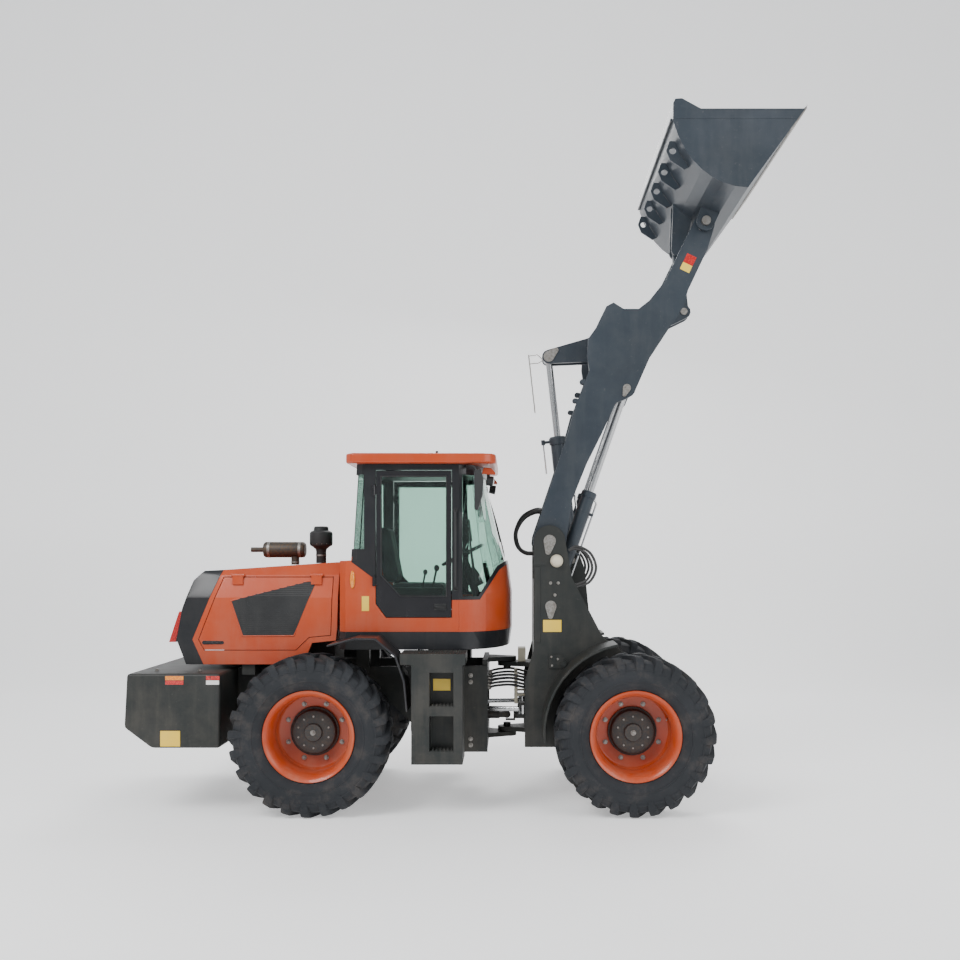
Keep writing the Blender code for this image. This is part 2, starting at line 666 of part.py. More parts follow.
def build_cab():
    shell = cut(cab_volume(0.0), cab_volume(CAB_WALL))
    frame = copy_of(shell)
    for name, region, depth in (("nose", CAB_NOSE_REGION, 1.0), ("left", CAB_SIDE_REGION, 1),
                                ("right", CAB_SIDE_REGION, -1)):
        low, high = (-1.0, 1.0) if name == "nose" else sorted((depth * 0.52, depth * 1.0))
        panel = keep(copy_of(shell), solid(region, low, high))
        frame = cut(frame, solid(inset(region, -TOUCH), *((low, high) if name == "nose" else sorted(
            (depth * (0.52 - TOUCH), depth * 1.0)))))
        finish(panel, "cab_nose" if name == "nose" else "cab_side_" + name, orange)
    for name, side in SIDES:
        depths = sorted((side * 0.5, side * 1.0))
        frame = cut(frame, solid(inset(CAB_DOOR_REGION, -TOUCH), *depths))
        door = keep(copy_of(shell), solid(inset(CAB_DOOR_REGION, CLEAR), *depths))
        door = cut(door, solid(DOOR_WINDOW, *depths))
        hinge_x, hinge_y = cab_hinge()
        for z in (1.72, 2.40):
            leaf = [(hinge_x, CAB_HALF + HINGE_AIR), (hinge_x + 0.024, CAB_HALF + HINGE_AIR),
                    (hinge_x + 0.024, CAB_HALF - 0.01), (hinge_x + 0.055, CAB_HALF - 0.01),
                    (hinge_x + 0.055, CAB_HALF + 0.008), (hinge_x, CAB_HALF + 0.008)]
            door = fuse(door, cylinder((hinge_x, side * hinge_y, z - 0.04),
                                       (hinge_x, side * hinge_y, z + 0.04), HINGE_KNUCKLE, 12),
                        solid([(x, side * y) for x, y in leaf], z - 0.03, z + 0.03, "Z"))
        finish(door, "cab_door_" + name, black, (hinge_x, side * hinge_y, 0))
        finish(pane(DOOR_WINDOW, *depths), "door_glass_" + name, glass, (hinge_x, side * hinge_y, 0))
    frame = cut(frame, solid(SCREEN_REGION, -1.0, 1.0), solid(REAR_WINDOW_REGION, -1.0, 1.0))
    finish(frame, "cab_frame", black)
    finish(pane(SCREEN_REGION, -1.0, 1.0), "windscreen", glass)
    finish(pane(REAR_WINDOW_REGION, -1.0, 1.0), "rear_window", glass)
    drop(shell)
    roof_low = CAB_TOP + TOUCH
    nose = [(ROOF_FRONT - 0.13 * (1 - math.cos(math.radians(90 * side / 4))),
             (ROOF_HALF - 0.10) + 0.10 * math.sin(math.radians(90 * side / 4))) for side in range(5)]
    plan = [(ROOF_REAR, ROOF_HALF - 0.06), (ROOF_REAR + 0.05, ROOF_HALF)] + nose[::-1]
    plan += [(x, -y) for x, y in reversed(plan)]
    roof = solid(plan, roof_low, roof_low + ROOF_THICKNESS, "Z")
    finish(roof, "cab_roof", orange)


def cab_hinge():
    return CAB_DOOR_REGION[2][0] - HINGE_KNUCKLE, CAB_HALF + HINGE_KNUCKLE + HINGE_AIR


def build_cab_fittings():
    floor = CAB_FLOOR + CAB_WALL + TOUCH
    base = box((-0.92, -0.22, floor), (-0.55, 0.22, 1.56))
    finish(base, "seat_base", black)
    finish(box((-0.94, -0.25, 1.56 + TOUCH), (-0.47, 0.25, 1.68)), "seat_cushion", fabric)
    back = [(-0.96, 1.6805), (-0.86, 1.6805), (-0.95, 2.15), (-1.04, 2.15)]
    finish(solid(back, -0.24, 0.24), "seat_backrest", fabric)
    column = solid([(-0.20, floor), (-0.10, floor), (-0.10, 1.55), (-0.34, 1.93), (-0.38, 1.91),
                    (-0.20, 1.55)], -0.07, 0.07)
    wheel = cylinder((-0.352, 0, 1.905), (-0.372, 0, 1.940), 0.19, 20)
    finish(fuse(column, wheel), "steering_column", black)


# --- steps and fenders -------------------------------------------------------------------------

STEP_OPENINGS = ((0.815, 1.060), (0.49, 0.745))
STEP_OPENING_X = (-0.558, -0.385)
STEP_DEPTH = 0.13


def build_steps_and_fenders():
    for name, side in SIDES:
        low, high = sorted((side * STEP_INNER, side * STEP_OUTER))
        tank = box((STEP_REAR, low, STEP_LOW), (STEP_FRONT, high, PLATFORM_TOP - PLATFORM_THICKNESS))
        deck = box((STEP_REAR - 0.084, low, PLATFORM_TOP - PLATFORM_THICKNESS - 0.002),
                   (STEP_FRONT + 0.02, high, PLATFORM_TOP))
        ladder = fuse(tank, deck)
        for bottom, top in STEP_OPENINGS:
            reach = sorted((side * (STEP_OUTER - STEP_DEPTH), side * (STEP_OUTER + 0.05)))
            ladder = cut(ladder, box((STEP_OPENING_X[0], reach[0], bottom),
                                     (STEP_OPENING_X[1], reach[1], top)))
        finish(ladder, "ladder_" + name, chassis)
        line = [(-1.30, 1.262), (-1.10, 1.315), (-0.945, 1.312), (-0.80, 1.19)]
        line += [(-0.735, 1.0), (-0.715, 0.78)]
        back = [(-0.728, 0.78), (-0.748, 0.995), (-0.812, 1.18), (-0.952, 1.298), (-1.10, 1.30),
                (-1.30, 1.248)]
        ends = sorted((side * (CAB_HALF + TOUCH), side * 1.0))
        finish(solid(line + back, *ends), "rear_fender_" + name, black)
        outer = TYRE_RADIUS + 0.075
        centre = (FRONT_AXLE_X, TYRE_RADIUS)
        strip = arc(centre, outer, 100, 186, 10) + arc(centre, outer - 0.02, 186, 100, 10)
        ends = sorted((side * (TOWER_HALF + TOUCH), side * (TRACK / 2)))
        finish(solid(strip, *ends), "front_fender_" + name, chassis)


# --- front frame -------------------------------------------------------------------------------

def build_front_frame():
    low = TYRE_RADIUS + PAD_HEIGHT
    a_x, a_z = BOOM_PIVOT
    head = a_x - TOWER_REAR
    front = FRONT_FRAME_FRONT
    outer = [(0.139, 0.426), (0.139, 0.93), (TOWER_REAR, 1.19)]
    outer += arc(BOOM_PIVOT, head, 180, 0, 10)
    outer += [(0.489, 1.83), (0.506, 1.736), (0.747, 1.272), (front, FRONT_FRAME_TOP), (front, low),
              (0.80, low), (0.62, 0.60), (0.38, 0.426)]
    inner = [(TOWER_REAR, 0.98)] + arc(BOOM_PIVOT, head, 180, 60, 7)
    inner += [(0.56, a_z - 0.05), (0.62, 1.80), (0.70, 0.98)]
    parts = []
    for _, side in SIDES:
        parts.append(solid(outer, *sorted((side * (TOWER_HALF - TOWER_PLATE), side * TOWER_HALF))))
        plate = solid(inner, *sorted((side * INNER_PLATE_Y, side * (INNER_PLATE_Y + TOWER_PLATE))))
        parts.append(cut(plate, cylinder(across(TILT_BASE, -0.3), across(TILT_BASE, 0.3),
                                         bore_for(TILT_PIN))))
    reach = TOWER_HALF - 0.01
    spine = TOWER_REAR + 0.001
    plate = HINGE_PLATE / 2
    upper = UPPER_HINGE - 0.0025 - plate
    lower = LOWER_HINGE + 0.0025 + plate
    parts += [
        box((spine, -reach, 0.44), (spine + 0.025, reach, 1.72)),
        box((spine + 0.01, -reach, FRONT_FRAME_TOP - 0.025), (front - 0.001, reach,
                                                            FRONT_FRAME_TOP - 0.0005)),
        box((front - 0.025, -reach, low + 0.001), (front - 0.0015, reach, FRONT_FRAME_TOP - 0.01)),
        box((spine + 0.01, -reach, 0.61), (0.70, reach, 0.635)),
        hinge_tongue(spine + 0.01, upper, plate, True),
        hinge_tongue(spine + 0.01, lower, plate, True),
    ]
    eye_x, eye_y = STEER_EYE
    for _, side in SIDES:
        ends = sorted((side * (INNER_PLATE_Y + 0.005), side * (TOWER_HALF - 0.005)))
        parts.append(cylinder(across(BOOM_PIVOT, ends[0]), across(BOOM_PIVOT, ends[1]),
                              PIN_RADIUS))
        parts.append(cylinder(across(LIFT_BASE, ends[0]), across(LIFT_BASE, ends[1]), LIFT_PIN))
        for level in (STEER_HEIGHT + STEER_EYE_HALF + 0.006, STEER_HEIGHT - STEER_EYE_HALF - 0.021):
            parts.append(box((eye_x - 0.045, side * eye_y - 0.06, level),
                             (spine + 0.01, side * eye_y + 0.06, level + 0.015)))
    finish(fuse(*parts), "front_frame", chassis)


# --- boom and linkage --------------------------------------------------------------------------

def from_bucket(x, z):
    """A bucket point given from the bucket's pivot."""
    return (BUCKET_PIVOT[0] + x, BUCKET_PIVOT[1] + z)


def link_eye():
    return moved(BUCKET_PIVOT, LINK_LEVER, LINK_LEVER_ANGLE)


def build_boom():
    outline = arc(BOOM_PIVOT, ARM_ROOT, 160, 350, 7)
    outline += [(0.508, 2.34), (0.62, 2.62), (0.74, 2.86), (0.85, 3.10), (0.93, 3.13)]
    outline += arc(LIFT_EYE, 0.07, -70, -10, 3)
    outline += [(1.11, 3.445), (1.277, 3.70), (1.377, 3.85), (1.41, 3.974), (1.56, 4.29)]
    outline += arc(BUCKET_PIVOT, ARM_TIP, -20, 155, 6)
    outline += [(1.235, 4.052), (1.110, 3.896), (1.026, 3.83), (0.91, 3.83), (0.83, 3.88),
                (0.775, 3.85), (0.692, 3.68), (0.635, 3.60), (0.625, 3.47), (0.642, 3.352),
                (0.583, 3.189), (0.533, 3.08), (0.466, 2.831)]
    inner = ARM_OUTER - ARM_PLATE
    parts = []
    for _, side in SIDES:
        arm = solid(outline, *sorted((side * inner, side * ARM_OUTER)))
        ends = (-0.6, 0.6)
        arm = cut(arm, *[cylinder(across(pin, ends[0]), across(pin, ends[1]), bore_for(PIN_RADIUS))
                         for pin in (BOOM_PIVOT, BUCKET_PIVOT)])
        parts.append(arm)
    reach = inner + 0.01
    parts.append(cylinder(across(CROSS_TUBE, -reach), across(CROSS_TUBE, reach),
                          CROSS_TUBE_RADIUS))
    for _, side in SIDES:
        ear = solid(bar(CROSS_TUBE, CROSS_TUBE_RADIUS - 0.01, ROCKER_PIVOT, 0.065),
                    *sorted((side * BOOM_EAR_INNER, side * (BOOM_EAR_INNER + BOOM_EAR_PLATE))))
        parts.append(cut(ear, cylinder(across(ROCKER_PIVOT, -0.3), across(ROCKER_PIVOT, 0.3),
                                       bore_for(PIN_RADIUS))))
    finish(fuse(*parts), "boom", boom_paint, across(BOOM_PIVOT, 0))


def build_rocker():
    parts = []
    for _, side in SIDES:
        depths = sorted((side * ROCKER_INNER, side * (ROCKER_INNER + ROCKER_PLATE)))
        outline = arc(ROCKER_REAR, 0.055, 100, 280, 6) + arc(ROCKER_PIVOT, 0.10, 280, 290, 2)
        outline += arc(ROCKER_FRONT, 0.055, -65, 110, 6) + arc(ROCKER_PIVOT, 0.10, 110, 98, 2)
        plate = solid(outline, *depths)
        parts.append(cut(plate, cylinder(across(ROCKER_FRONT, -0.3), across(ROCKER_FRONT, 0.3),
                                         bore_for(LINK_PIN))))
    middle = tuple(0.5 * (near + far) for near, far in zip(ROCKER_PIVOT, ROCKER_FRONT))
    parts.append(cylinder(across(ROCKER_PIVOT, -0.115), across(ROCKER_PIVOT, 0.115), PIN_RADIUS))
    parts.append(cylinder(across(ROCKER_PIVOT, -0.062), across(ROCKER_PIVOT, 0.062), 0.075))
    parts.append(cylinder(across(middle, -0.06), across(middle, 0.06), 0.05, 16))
    finish(fuse(*parts), "rocker", boom_paint, across(ROCKER_PIVOT, 0))


def build_link():
    pin_end = ROCKER_INNER + ROCKER_PLATE + 0.012
    finish(cylinder(across(ROCKER_FRONT, -pin_end), across(ROCKER_FRONT, pin_end), LINK_PIN, 16),
           "link_pin", steel, across(ROCKER_FRONT, 0))
    link = solid(bar(ROCKER_FRONT, 0.046, link_eye(), 0.038), -LINK_HALF, LINK_HALF)
    link = cut(link, cylinder(across(ROCKER_FRONT, -0.3), across(ROCKER_FRONT, 0.3),
                              bore_for(LINK_PIN)))
    finish(link, "bucket_link", boom_paint, across(ROCKER_FRONT, 0))


BUCKET_BACK = bezier((0.195, 0.055), (-0.05, 0.06), (-0.262, 0.235), (-0.344, 0.535), 8)


def build_bucket():
    tip = (0.626, 0.65)
    rim_line = [(0.595, 0.621), (-0.144, 0.621), (-0.28, 0.695), (-0.328, 0.692), (-0.344, 0.66)]
    outer = [from_bucket(x, z) for x, z in [tip] + rim_line + BUCKET_BACK[::-1]]
    hollow = [(0.743, 0.816), (0.743, 0.98), (-0.344, 0.98)] + BUCKET_BACK[::-1]
    hollow = inset([from_bucket(x, z) for x, z in hollow], BUCKET_WALL)
    inside = BUCKET_HALF - BUCKET_SIDE
    shell = cut(solid(outer, -BUCKET_HALF, BUCKET_HALF), solid(hollow, -inside, inside))
    near = from_bucket(0.04, 0.10)
    parts = [shell]
    for _, side in SIDES:
        for pair in BUCKET_EARS:
            ear = solid(bar(near, 0.075, BUCKET_PIVOT, 0.07), *sorted((side * pair[0], side * pair[1])))
            ear = cut(ear, cylinder(across(BUCKET_PIVOT, -0.6), across(BUCKET_PIVOT, 0.6),
                                    bore_for(PIN_RADIUS)))
            parts.append(ear)
        eye = link_eye()
        lug = [from_bucket(-0.05, 0.125), from_bucket(-0.20, 0.255)]
        lug += arc(eye, 0.055, 165, 330, 6)
        parts.append(solid(lug, *sorted((side * 0.045, side * 0.07))))
    bucket = fuse(*parts)
    bucket = cut(bucket, solid(hollow, -inside + 0.001, inside - 0.001))
    finish(bucket, "bucket", boom_paint, across(BUCKET_PIVOT, 0))
    finish(cylinder(across(BUCKET_PIVOT, -0.46), across(BUCKET_PIVOT, 0.46), PIN_RADIUS),
           "bucket_shaft", steel, across(BUCKET_PIVOT, 0))


# --- cylinders ---------------------------------------------------------------------------------

def build_cylinder(name, base, eye, plane, sizes):
    """A hydraulic cylinder in the side view: barrel with its base eye, rod with its pin."""
    barrel_radius, length, rod_radius, pin_radius, eye_half, pin_reach, chamber_radius, stroke = sizes
    heading = math.degrees(math.atan2(eye[1] - base[1], eye[0] - base[0]))
    gland = moved(base, length, heading)
    start = moved(base, 0.045, heading)
    bore_end = moved(base, CYLINDER_BOTTOM, heading)
    barrel = cylinder(across(start, plane), across(gland, plane), barrel_radius)
    base_eye = cylinder(across(base, plane - eye_half), across(base, plane + eye_half),
                        pin_radius + 0.03)
    hollow = cylinder(across(bore_end, plane), across(moved(gland, 0.05, heading), plane),
                      rod_radius + RUNNING, 16)
    barrel = cut(fuse(barrel, base_eye), hollow,
                 cylinder(across(base, plane - 0.2), across(base, plane + 0.2),
                          bore_for(pin_radius)))
    if chamber_radius:
        barrel = cut(barrel, cylinder(across(moved(bore_end, -0.005, heading), plane),
                                      across(moved(gland, -0.03, heading), plane),
                                      chamber_radius, 16))
    barrel_name, rod_name = name
    finish(barrel, barrel_name, boom_paint, across(base, plane))
    root = moved(base, CYLINDER_BOTTOM + 0.005 + stroke, heading)
    rod = cylinder(across(root, plane), across(eye, plane), rod_radius, 16)
    head = cylinder(across(eye, plane - eye_half), across(eye, plane + eye_half), pin_radius + 0.025)
    rod = fuse(rod, head)
    if pin_reach:
        side = 1 if plane > 0 else -1
        ends = (across(eye, plane), across(eye, side * pin_reach))
        rod = fuse(rod, cylinder(*ends, pin_radius))
    finish(rod, rod_name, steel, across(eye, plane))


def build_tilt_fittings():
    """The tilt cylinder's base pin, and the piston that its rod runs through."""
    base = TILT_BASE
    end = INNER_PLATE_Y + TOWER_PLATE + 0.01
    finish(cylinder(across(base, -end), across(base, end), TILT_PIN, 16), "tilt_pin", steel,
           across(base, 0))
    heading = math.degrees(math.atan2(ROCKER_REAR[1] - base[1], ROCKER_REAR[0] - base[0]))
    ends = [across(moved(base, distance, heading), 0) for distance in TILT_PISTON]
    past = [across(moved(base, distance, heading), 0)
            for distance in (TILT_PISTON[0] - 0.1, TILT_PISTON[1] + 0.1)]
    ring = cut(cylinder(*ends, TILT_CHAMBER - RUNNING, 16), cylinder(*past, TILT_ROD + RUNNING, 16))
    finish(ring, "tilt_piston", steel, across(base, 0))


def build_steering(name, side):
    base = (STEER_BASE[0], side * STEER_BASE[1])
    eye = (STEER_EYE[0], side * STEER_EYE[1])
    heading = math.degrees(math.atan2(eye[1] - base[1], eye[0] - base[0]))

    def at(distance, z=STEER_HEIGHT):
        return (*moved(base, distance, heading), z)

    low, high = STEER_HEIGHT - STEER_EYE_HALF, STEER_HEIGHT + STEER_EYE_HALF
    barrel = fuse(cylinder(at(0.03), at(STEER_BARREL_LENGTH), STEER_BARREL, 16),
                  cylinder(at(0, low), at(0, high), STEER_PIN + 0.022, 16))
    barrel = cut(barrel, cylinder(at(0.08), at(STEER_BARREL_LENGTH + 0.05), STEER_ROD + RUNNING, 12),
                 cylinder(at(0, low - 0.05), at(0, high + 0.05), bore_for(STEER_PIN)))
    finish(barrel, "steering_barrel_" + name, boom_paint, at(0))
    reach = math.dist(base, eye)
    rod = fuse(cylinder(at(0.085 + 0.19), at(reach), STEER_ROD, 12),
               cylinder(at(reach, low), at(reach, high), STEER_PIN + 0.022, 16))
    finish(rod, "steering_rod_" + name, steel, at(reach))


# --- the machine -------------------------------------------------------------------------------

def centre_over_origin():
    """Put the middle of the machine over the origin and its tyres on the floor."""
    low = Vector((math.inf,) * 3)
    high = Vector((-math.inf,) * 3)
    bpy.context.view_layer.update()
    for obj in loader.objects:
        for vertex in obj.data.vertices:
            point = obj.matrix_world @ vertex.co
            low = Vector(map(min, low, point))
            high = Vector(map(max, high, point))
    shift = Vector((-(low.x + high.x) / 2, 0, -low.z))
    for obj in loader.objects:
        obj.location += shift
    bpy.context.view_layer.update()
    return shift


clear_scene()
loader = new_collection("wheel_loader")
workshop = new_collection("cutters")
orange = new_material("orange_paint", (0.55, 0.105, 0.03), 0.38)
boom_paint = new_material("slate_paint", (0.045, 0.065, 0.085), 0.45)
chassis = new_material("chassis_paint", (0.045, 0.048, 0.046), 0.55)
black = new_material("black_trim", (0.018, 0.02, 0.024), 0.4)
dark = new_material("cast_iron", (0.03, 0.03, 0.03), 0.7)
rubber = new_material("rubber", (0.03, 0.033, 0.037), 0.85)
steel = new_material("steel", (0.55, 0.56, 0.57), 0.25, 1.0)
glass = new_material("tinted_glass", (0.16, 0.30, 0.27), 0.08)
fabric = new_material("seat_fabric", (0.05, 0.05, 0.055), 0.9)

for side_name, side_sign in SIDES:
    build_wheel("front_" + side_name, FRONT_AXLE_X, side_sign)
    build_wheel("rear_" + side_name, REAR_AXLE_X, side_sign)
build_axle("front_axle", FRONT_AXLE_X, TOWER_HALF - TOWER_PLATE / 2)
build_axle("rear_axle", REAR_AXLE_X, REAR_FRAME_HALF - FRAME_PLATE / 2)
build_rear_frame()
build_counterweight()
build_engine()
build_hood()
build_exhaust()
build_cab()
build_cab_fittings()
build_steps_and_fenders()
build_front_frame()
build_boom()
build_rocker()
build_link()
build_bucket()
lift_sizes = (LIFT_BARREL, LIFT_BARREL_LENGTH, LIFT_ROD, LIFT_PIN, 0.04,
              ARM_OUTER - ARM_PLATE - RUNNING, None, LIFT_STROKE)
tilt_sizes = (TILT_BARREL, TILT_BARREL_LENGTH, TILT_ROD, TILT_PIN, 0.035, None, TILT_CHAMBER,
              TILT_STROKE)
for side_name, side_sign in SIDES:
    build_cylinder(("lift_barrel_" + side_name, "lift_rod_" + side_name), LIFT_BASE, LIFT_EYE,
                   side_sign * LIFT_PLANE, lift_sizes)
    build_steering(side_name, side_sign)
build_cylinder(("tilt_barrel", "tilt_rod"), TILT_BASE, ROCKER_REAR, 0.0, tilt_sizes)
build_tilt_fittings()
shift_to_origin = centre_over_origin()
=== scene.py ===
import json
import math

import bmesh
import bpy
from mathutils import Matrix, Vector

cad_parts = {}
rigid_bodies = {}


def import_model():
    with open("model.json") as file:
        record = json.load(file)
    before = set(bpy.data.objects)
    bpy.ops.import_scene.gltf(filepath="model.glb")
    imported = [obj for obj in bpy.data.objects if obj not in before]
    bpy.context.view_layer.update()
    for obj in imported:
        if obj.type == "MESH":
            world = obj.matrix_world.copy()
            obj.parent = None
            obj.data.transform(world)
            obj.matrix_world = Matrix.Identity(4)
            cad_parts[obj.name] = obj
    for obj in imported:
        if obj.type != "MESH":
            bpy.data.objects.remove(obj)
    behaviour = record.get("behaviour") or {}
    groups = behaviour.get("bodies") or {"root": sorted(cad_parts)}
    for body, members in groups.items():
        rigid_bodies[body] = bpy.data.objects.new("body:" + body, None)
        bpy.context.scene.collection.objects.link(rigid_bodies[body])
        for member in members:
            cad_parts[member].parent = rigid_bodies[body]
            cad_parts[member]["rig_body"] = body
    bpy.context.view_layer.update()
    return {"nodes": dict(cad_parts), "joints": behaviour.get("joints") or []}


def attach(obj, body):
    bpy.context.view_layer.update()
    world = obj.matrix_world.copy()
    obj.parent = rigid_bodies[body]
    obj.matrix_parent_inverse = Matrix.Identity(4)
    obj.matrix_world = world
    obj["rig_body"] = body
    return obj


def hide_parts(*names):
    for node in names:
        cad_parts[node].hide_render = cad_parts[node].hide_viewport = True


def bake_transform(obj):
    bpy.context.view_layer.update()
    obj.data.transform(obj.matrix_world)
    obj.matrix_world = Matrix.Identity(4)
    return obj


# Wheel loader looks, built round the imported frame. Lengths are metres, +X is forwards.

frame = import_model()
print("frame loaded")

jointPlace = {joint["name"]: Vector(joint["pos_m"]) for joint in frame["joints"] if "pos_m" in joint}
pinX = jointPlace["articulation"].x
wheelPlace = jointPlace["front_left_wheel_spin"]
tyreRadius = 0.595
floorShift = wheelPlace.z - tyreRadius
sides = (("left", 1), ("right", -1))


def at(x, y, z):  # a point measured from the steering pin, as the frame is laid out
    return Vector((x + pinX, y, z + floorShift))


def flat(point):  # a joint's place in the side view, measured like at()
    return (point.x - pinX, point.z - floorShift)


boomPivot = flat(jointPlace["boom_lift"])
bucketPivot = flat(jointPlace["bucket_tilt"])
rockerPivot = flat(jointPlace["rocker_turn"])
liftBase = flat(jointPlace["lift_barrel_left_turn"])
tiltBase = flat(jointPlace["tilt_pin_turn"])
liftEye = (0.934, 3.213)
tiltEye = (0.337, 3.513)


# materials

def newMaterial(name):
    material = bpy.data.materials.new(name)
    material.use_nodes = True
    shader = material.node_tree.nodes["Principled BSDF"]
    return material, material.node_tree.nodes, material.node_tree.links, shader


def noiseNode(nodes, links, coords, scale, detail=4.0, rough=0.55, stretch=(1, 1, 1)):
    mapping = nodes.new("ShaderNodeMapping")
    mapping.inputs["Scale"].default_value = stretch
    texture = nodes.new("ShaderNodeTexNoise")
    texture.inputs["Scale"].default_value = scale
    texture.inputs["Detail"].default_value = detail
    texture.inputs["Roughness"].default_value = rough
    links.new(coords.outputs["Object"], mapping.inputs["Vector"])
    links.new(mapping.outputs["Vector"], texture.inputs["Vector"])
    return texture.outputs["Fac"]


def ramp(nodes, links, source, low, high, start=0.0, end=1.0):
    node = nodes.new("ShaderNodeMapRange")
    node.inputs["From Min"].default_value = low
    node.inputs["From Max"].default_value = high
    node.inputs["To Min"].default_value = start
    node.inputs["To Max"].default_value = end
    links.new(source, node.inputs["Value"])
    return node.outputs["Result"]


def mixColour(nodes, links, factor, first, second):
    node = nodes.new("ShaderNodeMix")
    node.data_type = "RGBA"
    for socket, value in ((node.inputs["A"], first), (node.inputs["B"], second)):
        if isinstance(value, tuple):
            socket.default_value = (*value, 1)
        else:
            links.new(value, socket)
    links.new(factor, node.inputs["Factor"])
    return node.outputs["Result"]


def multiply(nodes, links, first, second, operation="MULTIPLY"):
    node = nodes.new("ShaderNodeMath")
    node.operation = operation
    node.use_clamp = True
    for socket, value in zip(node.inputs, (first, second)):
        if isinstance(value, (int, float)):
            socket.default_value = value
        else:
            links.new(value, socket)
    return node.outputs["Value"]


def bump(nodes, links, shader, height, strength, distance, rounded=0.0):
    node = nodes.new("ShaderNodeBump")
    node.inputs["Strength"].default_value = strength
    node.inputs["Distance"].default_value = distance
    links.new(height, node.inputs["Height"])
    if rounded:
        edge = nodes.new("ShaderNodeBevel")
        edge.samples = 4
        edge.inputs["Radius"].default_value = rounded
        links.new(edge.outputs["Normal"], node.inputs["Normal"])
    links.new(node.outputs["Normal"], shader.inputs["Normal"])


# each paint: two tones of one colour, dust low down and in patches, scuffs, and orange peel
paintLooks = {
    "orangePaint": {"base": (0.42, 0.048, 0.009), "faded": (0.48, 0.066, 0.016), "dust": (0.36, 0.26, 0.19),
                    "dirt": 0.22, "scuff": (0.20, 0.075, 0.04), "scuffed": 0.12, "rough": 0.34, "coat": 0.25},
    "slatePaint": {"base": (0.020, 0.028, 0.037), "faded": (0.032, 0.042, 0.054), "dust": (0.23, 0.22, 0.21),
                   "dirt": 0.24, "scuff": (0.16, 0.15, 0.15), "scuffed": 0.25, "rough": 0.42, "coat": 0.12},
    "chassisPaint": {"base": (0.014, 0.017, 0.016), "faded": (0.023, 0.026, 0.025),
                     "dust": (0.14, 0.12, 0.10), "dirt": 0.26, "scuff": (0.11, 0.095, 0.085), "scuffed": 0.2,
                     "rough": 0.52, "coat": 0.05},
    "blackPaint": {"base": (0.008, 0.009, 0.011), "faded": (0.014, 0.015, 0.018), "dust": (0.15, 0.135, 0.12),
                   "dirt": 0.16, "scuff": (0.06, 0.06, 0.06), "scuffed": 0.10, "rough": 0.33, "coat": 0.20},
    "glossBlack": {"base": (0.008, 0.008, 0.010), "faded": (0.014, 0.014, 0.017), "dust": (0.13, 0.12, 0.11),
                   "dirt": 0.10, "scuff": (0.05, 0.05, 0.05), "scuffed": 0.05, "rough": 0.14, "coat": 0.50},
    "blackPlastic": {"base": (0.016, 0.017, 0.018), "faded": (0.030, 0.031, 0.032),
                     "dust": (0.15, 0.14, 0.13), "dirt": 0.20, "scuff": (0.07, 0.07, 0.07), "scuffed": 0.10,
                     "rough": 0.55, "coat": 0.0},
    "creamPaint": {"base": (0.62, 0.56, 0.42), "faded": (0.70, 0.65, 0.52), "dust": (0.30, 0.25, 0.19),
                   "dirt": 0.30, "scuff": (0.30, 0.26, 0.20), "scuffed": 0.15, "rough": 0.42, "coat": 0.1},
    "yellowSticker": {"base": (0.80, 0.52, 0.03), "faded": (0.84, 0.60, 0.09), "dust": (0.40, 0.32, 0.20),
                      "dirt": 0.18, "scuff": (0.35, 0.27, 0.12), "scuffed": 0.10, "rough": 0.38,
                      "coat": 0.15},
    "whiteMark": {"base": (0.72, 0.72, 0.70), "faded": (0.80, 0.80, 0.78), "dust": (0.42, 0.37, 0.31),
                  "dirt": 0.20, "scuff": (0.40, 0.38, 0.35), "scuffed": 0.10, "rough": 0.36, "coat": 0.2},
}


def makePaint(name, look):
    material, nodes, links, shader = newMaterial(name)
    coords = nodes.new("ShaderNodeTexCoord")
    cloudy = ramp(nodes, links, noiseNode(nodes, links, coords, 1.7, 5.0), 0.35, 0.7)
    colour = mixColour(nodes, links, cloudy, look["base"], look["faded"])
    height = nodes.new("ShaderNodeSeparateXYZ")
    links.new(coords.outputs["Object"], height.inputs["Vector"])
    low = ramp(nodes, links, height.outputs["Z"], 0.2, 1.9, 1.0, 0.25)
    patches = ramp(nodes, links, noiseNode(nodes, links, coords, 4.0, 8.0, 0.65), 0.42, 0.72)
    streaks = ramp(nodes, links, noiseNode(nodes, links, coords, 9.0, 6.0, 0.6, (1, 1, 0.12)), 0.48, 0.75)
    dirt = multiply(nodes, links, multiply(nodes, links, patches, streaks, "ADD"), low)
    dirt = multiply(nodes, links, dirt, look["dirt"])
    colour = mixColour(nodes, links, dirt, colour, look["dust"])
    fine = ramp(nodes, links, noiseNode(nodes, links, coords, 34.0, 10.0, 0.75), 0.60, 0.68)
    scuffs = multiply(nodes, links, fine, look["scuffed"])
    colour = mixColour(nodes, links, scuffs, colour, look["scuff"])
    links.new(colour, shader.inputs["Base Color"])
    gloss = multiply(nodes, links, dirt, 0.5, "MULTIPLY")
    gloss = multiply(nodes, links, gloss, look["rough"], "ADD")
    links.new(gloss, shader.inputs["Roughness"])
    shader.inputs["Coat Weight"].default_value = look["coat"]
    shader.inputs["Coat Roughness"].default_value = 0.12
    shader.inputs["Specular IOR Level"].default_value = 0.32
    peel = noiseNode(nodes, links, coords, 160.0, 2.0)
    bump(nodes, links, shader, peel, 0.12, 0.0006, 0.003)
    return material


paint = {name: makePaint(name, look) for name, look in paintLooks.items()}
orangePaint, slatePaint, chassisPaint = paint["orangePaint"], paint["slatePaint"], paint["chassisPaint"]
blackPaint, glossBlack, blackPlastic = paint["blackPaint"], paint["glossBlack"], paint["blackPlastic"]


